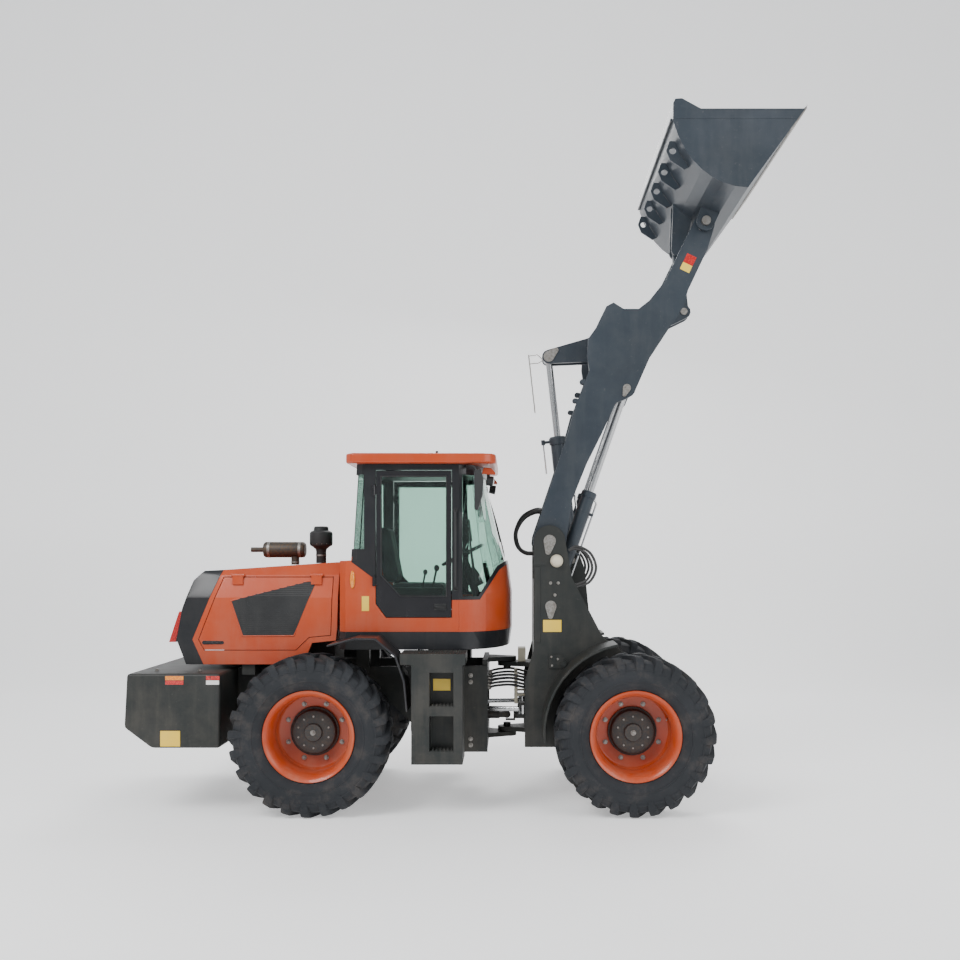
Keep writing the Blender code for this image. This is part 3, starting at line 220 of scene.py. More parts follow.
def makeRubber():
    material, nodes, links, shader = newMaterial("tyreRubber")
    coords = nodes.new("ShaderNodeTexCoord")
    clouds = ramp(nodes, links, noiseNode(nodes, links, coords, 3.0, 6.0, 0.6), 0.35, 0.7)
    colour = mixColour(nodes, links, clouds, (0.009, 0.011, 0.014), (0.017, 0.019, 0.023))
    dust = ramp(nodes, links, noiseNode(nodes, links, coords, 6.0, 9.0, 0.7), 0.50, 0.74, 0.0, 0.40)
    colour = mixColour(nodes, links, dust, colour, (0.100, 0.080, 0.064))
    links.new(colour, shader.inputs["Base Color"])
    shader.inputs["Roughness"].default_value = 0.82
    grain = noiseNode(nodes, links, coords, 220.0, 3.0)
    bump(nodes, links, shader, grain, 0.3, 0.001)
    return material


def makeHose():
    material, nodes, links, shader = newMaterial("hoseRubber")
    coords = nodes.new("ShaderNodeTexCoord")
    clouds = noiseNode(nodes, links, coords, 14.0, 5.0)
    colour = mixColour(nodes, links, clouds, (0.012, 0.012, 0.013), (0.036, 0.035, 0.034))
    links.new(colour, shader.inputs["Base Color"])
    shader.inputs["Roughness"].default_value = 0.58
    wraps = noiseNode(nodes, links, coords, 420.0, 1.0)
    bump(nodes, links, shader, wraps, 0.35, 0.0008)
    return material


def makeMetal(name, base, worn, rough, stretch=(1, 1, 1), scale=60.0, metallic=1.0):
    material, nodes, links, shader = newMaterial(name)
    coords = nodes.new("ShaderNodeTexCoord")
    marks = noiseNode(nodes, links, coords, scale, 6.0, 0.6, stretch)
    links.new(mixColour(nodes, links, ramp(nodes, links, marks, 0.4, 0.7), base, worn),
              shader.inputs["Base Color"])
    links.new(ramp(nodes, links, marks, 0.3, 0.8, rough, rough + 0.22), shader.inputs["Roughness"])
    shader.inputs["Metallic"].default_value = metallic
    bump(nodes, links, shader, marks, 0.12, 0.0005, 0.002)
    return material


def makeGlass():
    material, nodes, links, shader = newMaterial("tintedGlass")
    coords = nodes.new("ShaderNodeTexCoord")
    haze = ramp(nodes, links, noiseNode(nodes, links, coords, 3.5, 6.0, 0.6), 0.45, 0.8, 0.02, 0.13)
    links.new(haze, shader.inputs["Roughness"])
    tone = mixColour(nodes, links, noiseNode(nodes, links, coords, 0.9, 2.0), (0.50, 0.71, 0.62),
                     (0.60, 0.79, 0.71))
    links.new(tone, shader.inputs["Base Color"])
    shader.inputs["Transmission Weight"].default_value = 1.0
    shader.inputs["IOR"].default_value = 1.46
    return material


def makeLens(name, deep, pale):
    material, nodes, links, shader = newMaterial(name)
    coords = nodes.new("ShaderNodeTexCoord")
    prisms = nodes.new("ShaderNodeTexVoronoi")
    prisms.inputs["Scale"].default_value = 110.0
    links.new(coords.outputs["Object"], prisms.inputs["Vector"])
    colour = mixColour(nodes, links, ramp(nodes, links, prisms.outputs["Distance"], 0.1, 0.6), pale, deep)
    links.new(colour, shader.inputs["Base Color"])
    shader.inputs["Roughness"].default_value = 0.16
    shader.inputs["Coat Weight"].default_value = 0.6
    shader.inputs["Subsurface Weight"].default_value = 0.15
    shader.inputs["Subsurface Radius"].default_value = (0.01, 0.003, 0.002)
    bump(nodes, links, shader, prisms.outputs["Distance"], 0.35, 0.0015)
    return material


def makeCloth():
    material, nodes, links, shader = newMaterial("seatCloth")
    coords = nodes.new("ShaderNodeTexCoord")
    weave = nodes.new("ShaderNodeTexWave")
    weave.bands_direction = "X"
    weave.inputs["Scale"].default_value = 190.0
    weave.inputs["Distortion"].default_value = 1.2
    cross = nodes.new("ShaderNodeTexWave")
    cross.bands_direction = "Y"
    cross.inputs["Scale"].default_value = 190.0
    cross.inputs["Distortion"].default_value = 1.2
    links.new(coords.outputs["Object"], weave.inputs["Vector"])
    links.new(coords.outputs["Object"], cross.inputs["Vector"])
    threads = multiply(nodes, links, weave.outputs["Fac"], cross.outputs["Fac"])
    worn = noiseNode(nodes, links, coords, 7.0, 5.0)
    dark = mixColour(nodes, links, worn, (0.018, 0.019, 0.022), (0.040, 0.041, 0.046))
    colour = mixColour(nodes, links, threads, dark, (0.075, 0.078, 0.088))
    links.new(colour, shader.inputs["Base Color"])
    shader.inputs["Roughness"].default_value = 0.9
    shader.inputs["Sheen Weight"].default_value = 0.35
    bump(nodes, links, shader, threads, 0.5, 0.0012)
    return material


tyreRubber, hoseRubber, tintedGlass, seatCloth = makeRubber(), makeHose(), makeGlass(), makeCloth()
rodChrome = makeMetal("rodChrome", (0.62, 0.63, 0.64), (0.50, 0.50, 0.50), 0.14, (1, 1, 0.1))
zincPlate = makeMetal("zincPlate", (0.34, 0.33, 0.31), (0.20, 0.18, 0.16), 0.40)
castIron = makeMetal("castIron", (0.055, 0.055, 0.056), (0.10, 0.085, 0.07), 0.55, metallic=0.6)
exhaustSteel = makeMetal("exhaustSteel", (0.060, 0.057, 0.055), (0.13, 0.085, 0.05), 0.48, metallic=0.7)
mirrorSilver = makeMetal("mirrorSilver", (0.75, 0.77, 0.79), (0.70, 0.72, 0.74), 0.05)
redLens = makeLens("redLens", (0.42, 0.008, 0.006), (0.70, 0.03, 0.02))
amberLens = makeLens("amberLens", (0.72, 0.20, 0.010), (0.90, 0.36, 0.03))
clearLens = makeLens("clearLens", (0.60, 0.61, 0.60), (0.85, 0.86, 0.85))
print("materials ready")


# shape tools: each adds to a bmesh, and piece() makes the object

def addBlock(shape, low, high):
    low, high = Vector(low), Vector(high)
    size = high - low
    matrix = Matrix.Translation((low + high) / 2) @ Matrix.Diagonal((abs(size.x), abs(size.y), abs(size.z),
                                                                     1))
    return bmesh.ops.create_cube(shape, size=1.0, matrix=matrix)["verts"]


def addRod(shape, start, end, radius, segments=24, endRadius=None):
    start, end = Vector(start), Vector(end)
    turn = (end - start).to_track_quat("Z", "Y").to_matrix().to_4x4()
    matrix = Matrix.Translation((start + end) / 2) @ turn
    return bmesh.ops.create_cone(shape, cap_ends=True, segments=segments, radius1=radius,
                                 radius2=radius if endRadius is None else endRadius,
                                 depth=(end - start).length, matrix=matrix)["verts"]


def addBall(shape, centre, radii, segments=24):
    matrix = Matrix.Translation(centre) @ Matrix.Diagonal((*radii, 1))
    return bmesh.ops.create_uvsphere(shape, u_segments=segments, v_segments=segments // 2, radius=1.0,
                                     matrix=matrix)["verts"]


def addPlate(shape, outline, low, high, normal="Y"):  # outline in (x, z), (x, y) or (y, z)
    def point(across, up, depth):
        return {"Y": (across, depth, up), "Z": (across, up, depth), "X": (depth, across, up)}[normal]
    verts = [shape.verts.new(point(across, up, low)) for across, up in outline]
    face = shape.faces.new(verts)
    grown = bmesh.ops.extrude_face_region(shape, geom=[face])["geom"]
    moved = [item for item in grown if isinstance(item, bmesh.types.BMVert)]
    bmesh.ops.translate(shape, verts=moved, vec=Vector(point(0, 0, high)) - Vector(point(0, 0, low)))
    return verts + moved


def addTurned(shape, profile, centre, axis, segments=64, closed=False):  # profile of (radius, height)
    verts = [shape.verts.new((radius, 0, height)) for radius, height in profile]
    pairs = list(zip(verts, verts[1:])) + ([(verts[-1], verts[0])] if closed else [])
    edges = [shape.edges.new(pair) for pair in pairs]
    before = set(shape.verts) - set(verts)
    bmesh.ops.spin(shape, geom=verts + edges, cent=(0, 0, 0), axis=(0, 0, 1), angle=2 * math.pi,
                   steps=segments, use_merge=True)
    made = [vert for vert in shape.verts if vert not in before]
    bmesh.ops.remove_doubles(shape, verts=made, dist=1e-6)
    made = [vert for vert in shape.verts if vert not in before]
    turn = Vector(axis).to_track_quat("Z", "Y").to_matrix().to_4x4()
    bmesh.ops.transform(shape, matrix=Matrix.Translation(centre) @ turn, verts=made)
    return made


def addBolt(shape, spot, axis, size):  # a hexagon head on a washer, standing on spot
    spot, axis = Vector(spot), Vector(axis).normalized()
    addRod(shape, spot, spot + axis * size * 0.18, size * 1.15, 20)
    spot = spot + axis * size * 0.18
    addRod(shape, spot, spot + axis * size * 0.75, size * 0.88, 6)
    addRod(shape, spot + axis * size * 0.7, spot + axis * size * 1.0, size * 0.5, 12)


def curved(points, steps=6):  # a smooth line through the points
    points = [Vector(point) for point in points]
    ends = [points[0] * 2 - points[1]] + points + [points[-1] * 2 - points[-2]]
    line = []
    for a, b, c, d in zip(ends, ends[1:], ends[2:], ends[3:]):
        for step in range(steps):
            t = step / steps
            line.append(0.5 * (2 * b + (c - a) * t + (2 * a - 5 * b + 4 * c - d) * t * t
                               + (3 * b - a - 3 * c + d) * t ** 3))
    return line + [points[-1]]


def addTube(shape, line, radius, segments=12):  # a round hose or pipe along a line
    rings = []
    up = Vector((0, 0, 1))
    for index, point in enumerate(line):
        ahead = (line[min(index + 1, len(line) - 1)] - line[max(index - 1, 0)]).normalized()
        side = ahead.cross(up)
        side = side.normalized() if side.length > 1e-3 else Vector((0, 1, 0))
        up = side.cross(ahead).normalized()
        made = bmesh.ops.create_circle(shape, segments=segments, radius=radius)["verts"]
        turn = Matrix((side, up, -ahead)).transposed().to_4x4()
        bmesh.ops.transform(shape, matrix=Matrix.Translation(point) @ turn, verts=made)
        rings.append(made)
    for first, second in zip(rings, rings[1:]):
        edges = list({edge for vert in first + second for edge in vert.link_edges
                      if edge.other_vert(vert) in first or edge.other_vert(vert) in second})
        ringEdges = [edge for edge in edges if (edge.verts[0] in first and edge.verts[1] in first)
                     or (edge.verts[0] in second and edge.verts[1] in second)]
        bmesh.ops.bridge_loops(shape, edges=ringEdges)
    for ring in (rings[0], rings[-1]):
        shape.faces.new(ring)


def arc(centre, radius, start, end, steps):
    turns = [math.radians(start + (end - start) * step / steps) for step in range(steps + 1)]
    return [(centre[0] + radius * math.cos(turn), centre[1] + radius * math.sin(turn)) for turn in turns]


def piece(shape, name, material, body, bevel=0.0, sharp=38, segments=2):
    bmesh.ops.remove_doubles(shape, verts=shape.verts, dist=1e-6)
    bmesh.ops.recalc_face_normals(shape, faces=shape.faces)
    mesh = bpy.data.meshes.new(name)
    shape.to_mesh(mesh)
    shape.free()
    mesh.shade_smooth()
    mesh.set_sharp_from_angle(angle=math.radians(sharp))
    thing = bpy.data.objects.new(name, mesh)
    bpy.context.scene.collection.objects.link(thing)
    mesh.materials.append(material)
    if bevel:
        edge = thing.modifiers.new("Edge", "BEVEL")
        edge.width = bevel
        edge.segments = segments
        edge.limit_method = "ANGLE"
        edge.angle_limit = math.radians(sharp)
        edge.harden_normals = True
    if body:
        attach(thing, body)
    return thing


def bodyOf(node):
    return frame["nodes"][node]["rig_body"]


def softened(node, material, width=0.004, sharp=32):  # the frame's own solid with eased edges
    shape = bmesh.new()
    shape.from_mesh(frame["nodes"][node].data)
    bmesh.ops.remove_doubles(shape, verts=shape.verts, dist=1e-5)
    bmesh.ops.dissolve_limit(shape, angle_limit=math.radians(0.3), verts=shape.verts, edges=shape.edges)
    thing = piece(shape, node + "_body", material, bodyOf(node), width, sharp)
    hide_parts(node)
    return thing


def repaint(node, material):  # a frame solid that keeps its shape
    slots = frame["nodes"][node].material_slots
    for entry in slots:
        entry.material = material


# floor, light and camera

studio = {"floor": 14.0, "wall": 18.0, "bend": 2.5, "back": 6.0, "eye": 1.914, "stand": 8.97, "lens": 41.4,
          "shiftX": -0.0333, "shiftY": 0.0781}


def makeStudio():
    material, nodes, links, shader = newMaterial("studioFloor")
    coords = nodes.new("ShaderNodeTexCoord")
    mottle = noiseNode(nodes, links, coords, 2.2, 6.0)
    links.new(mixColour(nodes, links, mottle, (0.86, 0.86, 0.86), (0.90, 0.90, 0.90)),
              shader.inputs["Base Color"])
    shader.inputs["Roughness"].default_value = 0.75
    shader.inputs["Emission Color"].default_value = (1.0, 1.0, 1.0, 1)
    shader.inputs["Emission Strength"].default_value = 0.42
    shape = bmesh.new()
    half, back, bend = studio["floor"], studio["back"], studio["bend"]
    line = [(-half, 0.0)] + [(x, z) for x, z in arc((back, bend), bend, -90, 0, 16)]
    line.append((back + bend, studio["wall"]))
    verts = [shape.verts.new((-half * 1.6, y, z)) for y, z in line]
    edges = [shape.edges.new(pair) for pair in zip(verts, verts[1:])]
    grown = bmesh.ops.extrude_edge_only(shape, edges=edges)["geom"]
    bmesh.ops.translate(shape, verts=[item for item in grown if isinstance(item, bmesh.types.BMVert)],
                        vec=(half * 3.2, 0, 0))
    bmesh.ops.recalc_face_normals(shape, faces=shape.faces)
    mesh = bpy.data.meshes.new("floor")
    shape.to_mesh(mesh)
    shape.free()
    mesh.shade_smooth()
    mesh.materials.append(material)
    floor = bpy.data.objects.new("floor", mesh)
    bpy.context.scene.collection.objects.link(floor)
    world = bpy.data.worlds.new("studio")
    world.use_nodes = True
    world.node_tree.nodes["Background"].inputs["Color"].default_value = (0.93, 0.96, 1.0, 1)
    world.node_tree.nodes["Background"].inputs["Strength"].default_value = 0.55
    bpy.context.scene.world = world
    for name, spot, size, power in (("keyLight", (-5.5, -7.0, 8.5), 5.0, 950),
                                    ("fillLight", (7.0, -6.0, 5.0), 6.0, 420),
                                    ("rimLight", (1.0, 5.5, 8.0), 4.0, 380)):
        lamp = bpy.data.lights.new(name, "AREA")
        lamp.size = size
        lamp.energy = power
        light = bpy.data.objects.new(name, lamp)
        light.location = spot
        light.rotation_euler = (Vector((0, 0, 1.6)) - Vector(spot)).to_track_quat("-Z", "Y").to_euler()
        bpy.context.scene.collection.objects.link(light)
    lens = bpy.data.cameras.new("camera")
    lens.lens = studio["lens"]
    lens.shift_x = studio["shiftX"]
    lens.shift_y = studio["shiftY"]
    camera = bpy.data.objects.new("camera", lens)
    camera.location = at(0.04, -studio["stand"], studio["eye"])
    camera.rotation_euler = (math.radians(90), 0, 0)
    bpy.context.scene.collection.objects.link(camera)
    bpy.context.scene.camera = camera


makeStudio()
print("studio ready")


# the frame's solids: hard ones get eased edges and their paint

orangeNodes = ("hood", "engine_door_left", "engine_door_right", "cab_nose", "cab_side_left", "cab_side_right",
               "cab_roof")
slateNodes = ("boom", "rocker", "bucket_link", "bucket", "lift_barrel_left", "lift_barrel_right",
              "tilt_barrel", "steering_barrel_left", "steering_barrel_right")
chassisNodes = ("front_frame", "rear_frame", "counterweight", "ladder_left", "ladder_right",
                "front_fender_left", "front_fender_right", "front_axle", "rear_axle")
blackNodes = ("tail_cover", "cab_frame", "rear_fender_left", "rear_fender_right", "seat_base")
rodNodes = ("lift_rod_left", "lift_rod_right", "tilt_rod", "steering_rod_left", "steering_rod_right")
glassNodes = ("windscreen", "rear_window", "door_glass_left", "door_glass_right")
edgeWidth = {"bucket": 0.003, "cab_roof": 0.018, "counterweight": 0.022, "hood": 0.003, "cab_frame": 0.003,
             "cab_nose": 0.003, "tail_cover": 0.003}

for node in orangeNodes:
    softened(node, orangePaint, edgeWidth.get(node, 0.004))
for node in slateNodes:
    softened(node, slatePaint, edgeWidth.get(node, 0.004))
for node in chassisNodes:
    softened(node, chassisPaint, edgeWidth.get(node, 0.004))
for node in blackNodes:
    softened(node, blackPaint, edgeWidth.get(node, 0.004))
for node in ("cab_door_left", "cab_door_right"):
    softened(node, glossBlack, 0.003)
for node in rodNodes:
    softened(node, rodChrome, 0.002)
for node in glassNodes:
    repaint(node, tintedGlass)
for node in ("link_pin", "bucket_shaft", "tilt_pin", "tilt_piston"):
    repaint(node, zincPlate)
repaint("engine_block", castIron)
print("frame solids painted")


# wheels

tyreDims = {"tread": 0.5893, "base": 0.560, "half": 0.203, "bead": 0.307, "lugs": 24, "lugWidth": 0.052,
            "lugLean": 0.105, "lugEdge": 0.004, "steps": 96}
rimDims = {"lip": 0.336, "wall": 0.292, "boltCircle": 0.205, "bolts": 8}


def makeTyre(name, centre, body):
    shape = bmesh.new()
    half, base = tyreDims["half"], tyreDims["base"]
    crown = [(base, 0.0), (base - 0.001, 0.09), (base - 0.006, 0.145), (base - 0.022, 0.178),
             (base - 0.050, half - 0.010), (0.500, half - 0.006), (0.497, half - 0.002),
             (0.488, half - 0.002), (0.485, half - 0.005), (0.450, half), (0.415, half - 0.002),
             (0.412, half + 0.001), (0.404, half + 0.001), (0.401, half - 0.004), (0.375, half - 0.014),
             (0.350, half - 0.034), (0.334, half - 0.058), (tyreDims["bead"] + 0.008, 0.1385),
             (tyreDims["bead"], 0.128), (tyreDims["bead"], 0.0)]
    profile = crown + [(radius, -across) for radius, across in crown[-2:0:-1]]
    addTurned(shape, profile, centre, (0, 1, 0), tyreDims["steps"], closed=True)
    lug = bmesh.new()
    wide, top, lean = tyreDims["lugWidth"] / 2, tyreDims["tread"], tyreDims["lugLean"]
    stations = ((0.006, top, 0.0, 0.8), (0.075, top, 0.36, 0.9), (0.150, top - 0.001, 0.80, 1.05),
                (0.180, top - 0.011, 0.95, 1.12), (half + 0.001, top - 0.045, 1.0, 1.1),
                (half - 0.001, top - 0.080, 1.0, 0.75))
    rings = []
    for across, radius, along, scale in stations:
        foot = radius - 0.045
        shift = lean * along
        corners = [(shift - wide * scale * 1.25, foot), (shift - wide * scale, radius),
                   (shift + wide * scale, radius), (shift + wide * scale * 1.25, foot)]
        rings.append([lug.verts.new((r * math.sin(x / top), across, r * math.cos(x / top))) for x,
                      r in corners])
    for first, second in zip(rings, rings[1:]):
        for index in range(4):
            after = (index + 1) % 4
            lug.faces.new((first[index], first[after], second[after], second[index]))
    lug.faces.new(rings[0])
    lug.faces.new(rings[-1])
    bmesh.ops.recalc_face_normals(lug, faces=lug.faces)
    bmesh.ops.bevel(lug, geom=lug.edges[:], offset=tyreDims["lugEdge"], segments=1, profile=0.5,
                    affect="EDGES", material=-1)
    single = bpy.data.meshes.new("lug")
    lug.to_mesh(single)
    lug.free()
    count = tyreDims["lugs"]
    for index in range(count):
        for flip in (1, -1):
            start = len(shape.verts)
            shape.from_mesh(single)
            shape.verts.ensure_lookup_table()
            new = shape.verts[start:]
            turn = 2 * math.pi * (index + (0.0 if flip > 0 else 0.5)) / count
            matrix = Matrix.Translation(centre) @ Matrix.Rotation(turn, 4,
                                                                  "Y") @ Matrix.Diagonal((1, flip, 1, 1))
            bmesh.ops.transform(shape, matrix=matrix, verts=new)
    bpy.data.meshes.remove(single)
    tyre = piece(shape, name + "_tread", tyreRubber, body, 0.0, 32)
    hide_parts(name + "_tyre")


def makeRim(name, centre, side, body):
    shape = bmesh.new()
    outer = 0.164
    disc = outer - 0.28 + 0.0003
    lip, wall = rimDims["lip"], rimDims["wall"]
    profile = [(0.0, disc - 0.018), (rimDims["boltCircle"] + 0.05, disc - 0.018), (0.270, disc - 0.012),
               (wall - 0.006, disc + 0.012),
               (wall - 0.010, disc + 0.06), (wall - 0.016, 0.02), (wall - 0.010, 0.085),
               (wall - 0.002, 0.120), (0.305, 0.146), (0.322, 0.158), (lip - 0.004, 0.163), (lip, 0.158),
               (lip - 0.001, 0.148), (0.320, 0.1425), (0.3065, 0.136), (0.3045, -0.136), (0.320, -0.1425),
               (lip - 0.001, -0.148), (lip, -0.158), (lip - 0.006, -0.163), (0.300, -0.150), (0.290, -0.125),
               (0.287, disc - 0.045), (0.0, disc - 0.045)]
    out = (0, side, 0)
    addTurned(shape, profile, centre, out, 96)
    rim = piece(shape, name + "_dish", orangePaint, body, 0.0, 30)
    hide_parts(name + "_rim")
    lockRing = bmesh.new()
    addTurned(lockRing, [(0.2945, 0.118), (0.3015, 0.128), (0.3030, 0.135), (0.2975, 0.136), (0.2925, 0.126)],
              centre, out, 96, closed=True)
    piece(lockRing, name + "_lock_ring", orangePaint, body, 0.0, 30)
    hub = bmesh.new()
    addTurned(hub, [(0.0, disc + 0.085), (0.062, disc + 0.085), (0.066, disc + 0.080), (0.068, disc + 0.062),
                    (0.140, disc + 0.058), (0.158, disc + 0.050), (0.166, disc + 0.030),
                    (0.168, disc + 0.006), (0.182, disc + 0.002), (0.183, disc - 0.016),
                    (0.0, disc - 0.016)], centre, out, 72)
    piece(hub, name + "_hub", castIron, body, 0.0, 30)
    bolts = bmesh.new()
    axis = Vector(out)
    for count, radius, depth, size in ((rimDims["bolts"], rimDims["boltCircle"] + 0.012, disc - 0.017, 0.016),
                                       (10, 0.118, disc + 0.056, 0.009)):
        for index in range(count):
            turn = 2 * math.pi * (index + 0.5) / count
            spot = centre + Vector((radius * math.cos(turn), 0, radius * math.sin(turn))) + axis * depth
            addBolt(bolts, spot, axis, size)
    addBolt(bolts, centre + axis * (disc + 0.084), axis, 0.018)
    addRod(bolts, centre + Vector((0.26, 0, 0.10)) + axis * (disc + 0.02),
           centre + Vector((0.248, 0, 0.092)) + axis * (disc + 0.07), 0.005, 12)  # the tyre valve
    piece(bolts, name + "_bolts", zincPlate, body, 0.0, 30)


for end in ("front", "rear"):
    for sideName, side in sides:
        name = end + "_" + sideName
        makeTyre(name, jointPlace[name + "_wheel_spin"], name + "_wheel")
        makeRim(name, jointPlace[name + "_wheel_spin"], side, name + "_wheel")
print("wheels ready")


# details that stand on the solids, in lengths from the steering pin

proud = 0.0004  # a marking's air gap over its paint
keeperDims = {"radius": 0.043, "tail": 0.078, "tip": 0.020, "thick": 0.007, "bolt": 0.008}
towerFace = 0.4203  # how far out the side of a tower plate stands


def shifted(outline):
    return [(x + pinX, z + floorShift) for x, z in outline]


def blockAt(shape, low, high):
    return addBlock(shape, at(*low), at(*high))


def plateAt(shape, outline, low, high):
    return addPlate(shape, shifted(outline), low, high)


def rodAt(shape, start, end, radius, segments=20):
    return addRod(shape, at(*start), at(*end), radius, segments)


def tubeAt(shape, points, radius, segments=12, steps=8):
    addTube(shape, curved([at(*point) for point in points], steps), radius, segments)


def addKeeper(shape, centre, face, side, turn, scale=1.0):  # a pin's teardrop plate with its bolt
    radius, tip, reach = (keeperDims[key] * scale for key in ("radius", "tip", "tail"))
    lean = math.radians(turn)
    tail = (centre[0] + reach * math.cos(lean), centre[1] + reach * math.sin(lean))
    outline = arc(centre, radius, turn + 72, turn + 288, 18) + arc(tail, tip, turn - 72, turn + 72, 8)
    thick = keeperDims["thick"]
    plateAt(shape, outline, side * face, side * (face + thick))
    addBolt(shape, at(tail[0], side * (face + thick), tail[1]), (0, side, 0), keeperDims["bolt"] * scale)
    spot = at(centre[0], side * (face + thick), centre[1])
    addRod(shape, spot, spot + Vector((0, side * 0.0015, 0)), radius * 0.42, 24)


def addSticker(shape, corners, side, face):
    (low, foot), (high, top) = corners
    plateAt(shape, [(low, foot), (high, foot), (high, top), (low, top)], side * (face + proud),
            side * (face + proud + 0.0008))


def makeKeepers():
    for body, name, spots in (
            ("front_body", "tower_keepers", ((boomPivot, towerFace, 262, 1.1),
                                             (liftBase, towerFace, 268, 1.0))),
            ("boom_arm", "arm_keepers", ((liftEye, 0.3803, 250, 0.72), (bucketPivot, 0.3803, 232, 0.7))),
            ("rocker_body", "rocker_keepers", ((tiltEye, 0.0753, 42, 1.0),))):
        shape = bmesh.new()
        for centre, face, turn, scale in spots:
            for _, side in sides:
                addKeeper(shape, centre, face, side, turn, scale)
        piece(shape, name, zincPlate, body, 0.0015, 30, 1)
    shape = bmesh.new()
    for _, side in sides:
        addKeeper(shape, rockerPivot, 0.1153, side, 252, 1.0)
    piece(shape, "ear_keepers", zincPlate, "boom_arm", 0.0015, 30, 1)


def makeTower():
    bolts, seams, stickers, lamps = bmesh.new(), bmesh.new(), bmesh.new(), bmesh.new()
    for _, side in sides:
        for x, z in ((0.339, 1.697), (0.398, 1.697), (0.373, 1.604), (0.345, 1.125), (0.395, 1.108),
                     (0.350, 1.058)):
            addBolt(bolts, at(x, side * towerFace, z), (0, side, 0), 0.011)
        plateAt(seams, [(0.216, 1.235), (0.262, 1.235), (0.262, 1.822), (0.216, 1.822)], side * towerFace,
                side * 0.4253)
        plateAt(seams, [(0.216, 1.828), (0.315, 1.828), (0.315, 1.836), (0.216, 1.836)], side * towerFace,
                side * 0.4233)
        plateAt(seams, [(0.325, 1.035), (0.455, 1.035), (0.475, 1.085), (0.42, 1.145), (0.325, 1.145)],
                side * towerFace, side * 0.4293)
        rodAt(seams, (0.44, side * towerFace, 1.075), (0.44, side * 0.50, 1.075), 0.022)
        addSticker(stickers, ((0.281, 1.318), (0.423, 1.411)), side, towerFace)
        addTurned(lamps, [(0.0, 0.052), (0.020, 0.050), (0.036, 0.041), (0.046, 0.026), (0.049, 0.010),
                          (0.050, 0.0), (0.0, 0.0)], at(0.386, side * 0.4206, 1.868), (0, side, 0), 40)
    piece(bolts, "tower_bolts", zincPlate, "front_body", 0.0, 30)
    piece(seams, "tower_flanges", chassisPaint, "front_body", 0.0015, 30, 1)
    piece(stickers, "tower_stickers", paint["yellowSticker"], "front_body")
    piece(lamps, "tower_lamps", paint["creamPaint"], "front_body", 0.0, 40)


def makeCounterweight():
    amber, red, white, yellow, trim = (bmesh.new() for _ in range(5))
    for _, side in sides:
        addSticker(amber, ((-2.494, 0.999), (-2.362, 1.029)), side, 0.9003)
        addSticker(red, ((-2.494, 0.966), (-2.362, 0.997)), side, 0.9003)
        for step in range(3):
            addSticker(red, ((-2.196 + step * 0.034, 0.999), (-2.166 + step * 0.034, 1.029)), side, 0.9003)
        addSticker(white, ((-2.196, 0.966), (-2.101, 0.997)), side, 0.9003)
        addSticker(yellow, ((-2.531, 0.514), (-2.386, 0.628)), side, 0.9003)
        for x in (-2.62, -2.30):
            addBolt(trim, at(x, side * 0.70, 1.0453), (0, 0, 1), 0.014)
        plateAt(red, [(-2.4815, 1.483), (-2.5025, 1.483), (-2.5795, 1.249), (-2.528, 1.249)], side * 0.40,
                side * 0.54)
    piece(amber, "side_reflectors", amberLens, "rear_body")
    piece(red, "red_reflectors", redLens, "rear_body", 0.0006, 30, 1)
    piece(white, "white_reflectors", paint["whiteMark"], "rear_body")
    piece(yellow, "counterweight_stickers", paint["yellowSticker"], "rear_body")
    piece(trim, "counterweight_bolts", zincPlate, "rear_body")


def insetBy(outline, amount):  # an outline drawn in towards its middle
    middle = Vector((sum(x for x, _ in outline), sum(z for _, z in outline))) / len(outline)
    return [tuple(Vector(point) + (middle - Vector(point)).normalized() * amount) for point in outline]


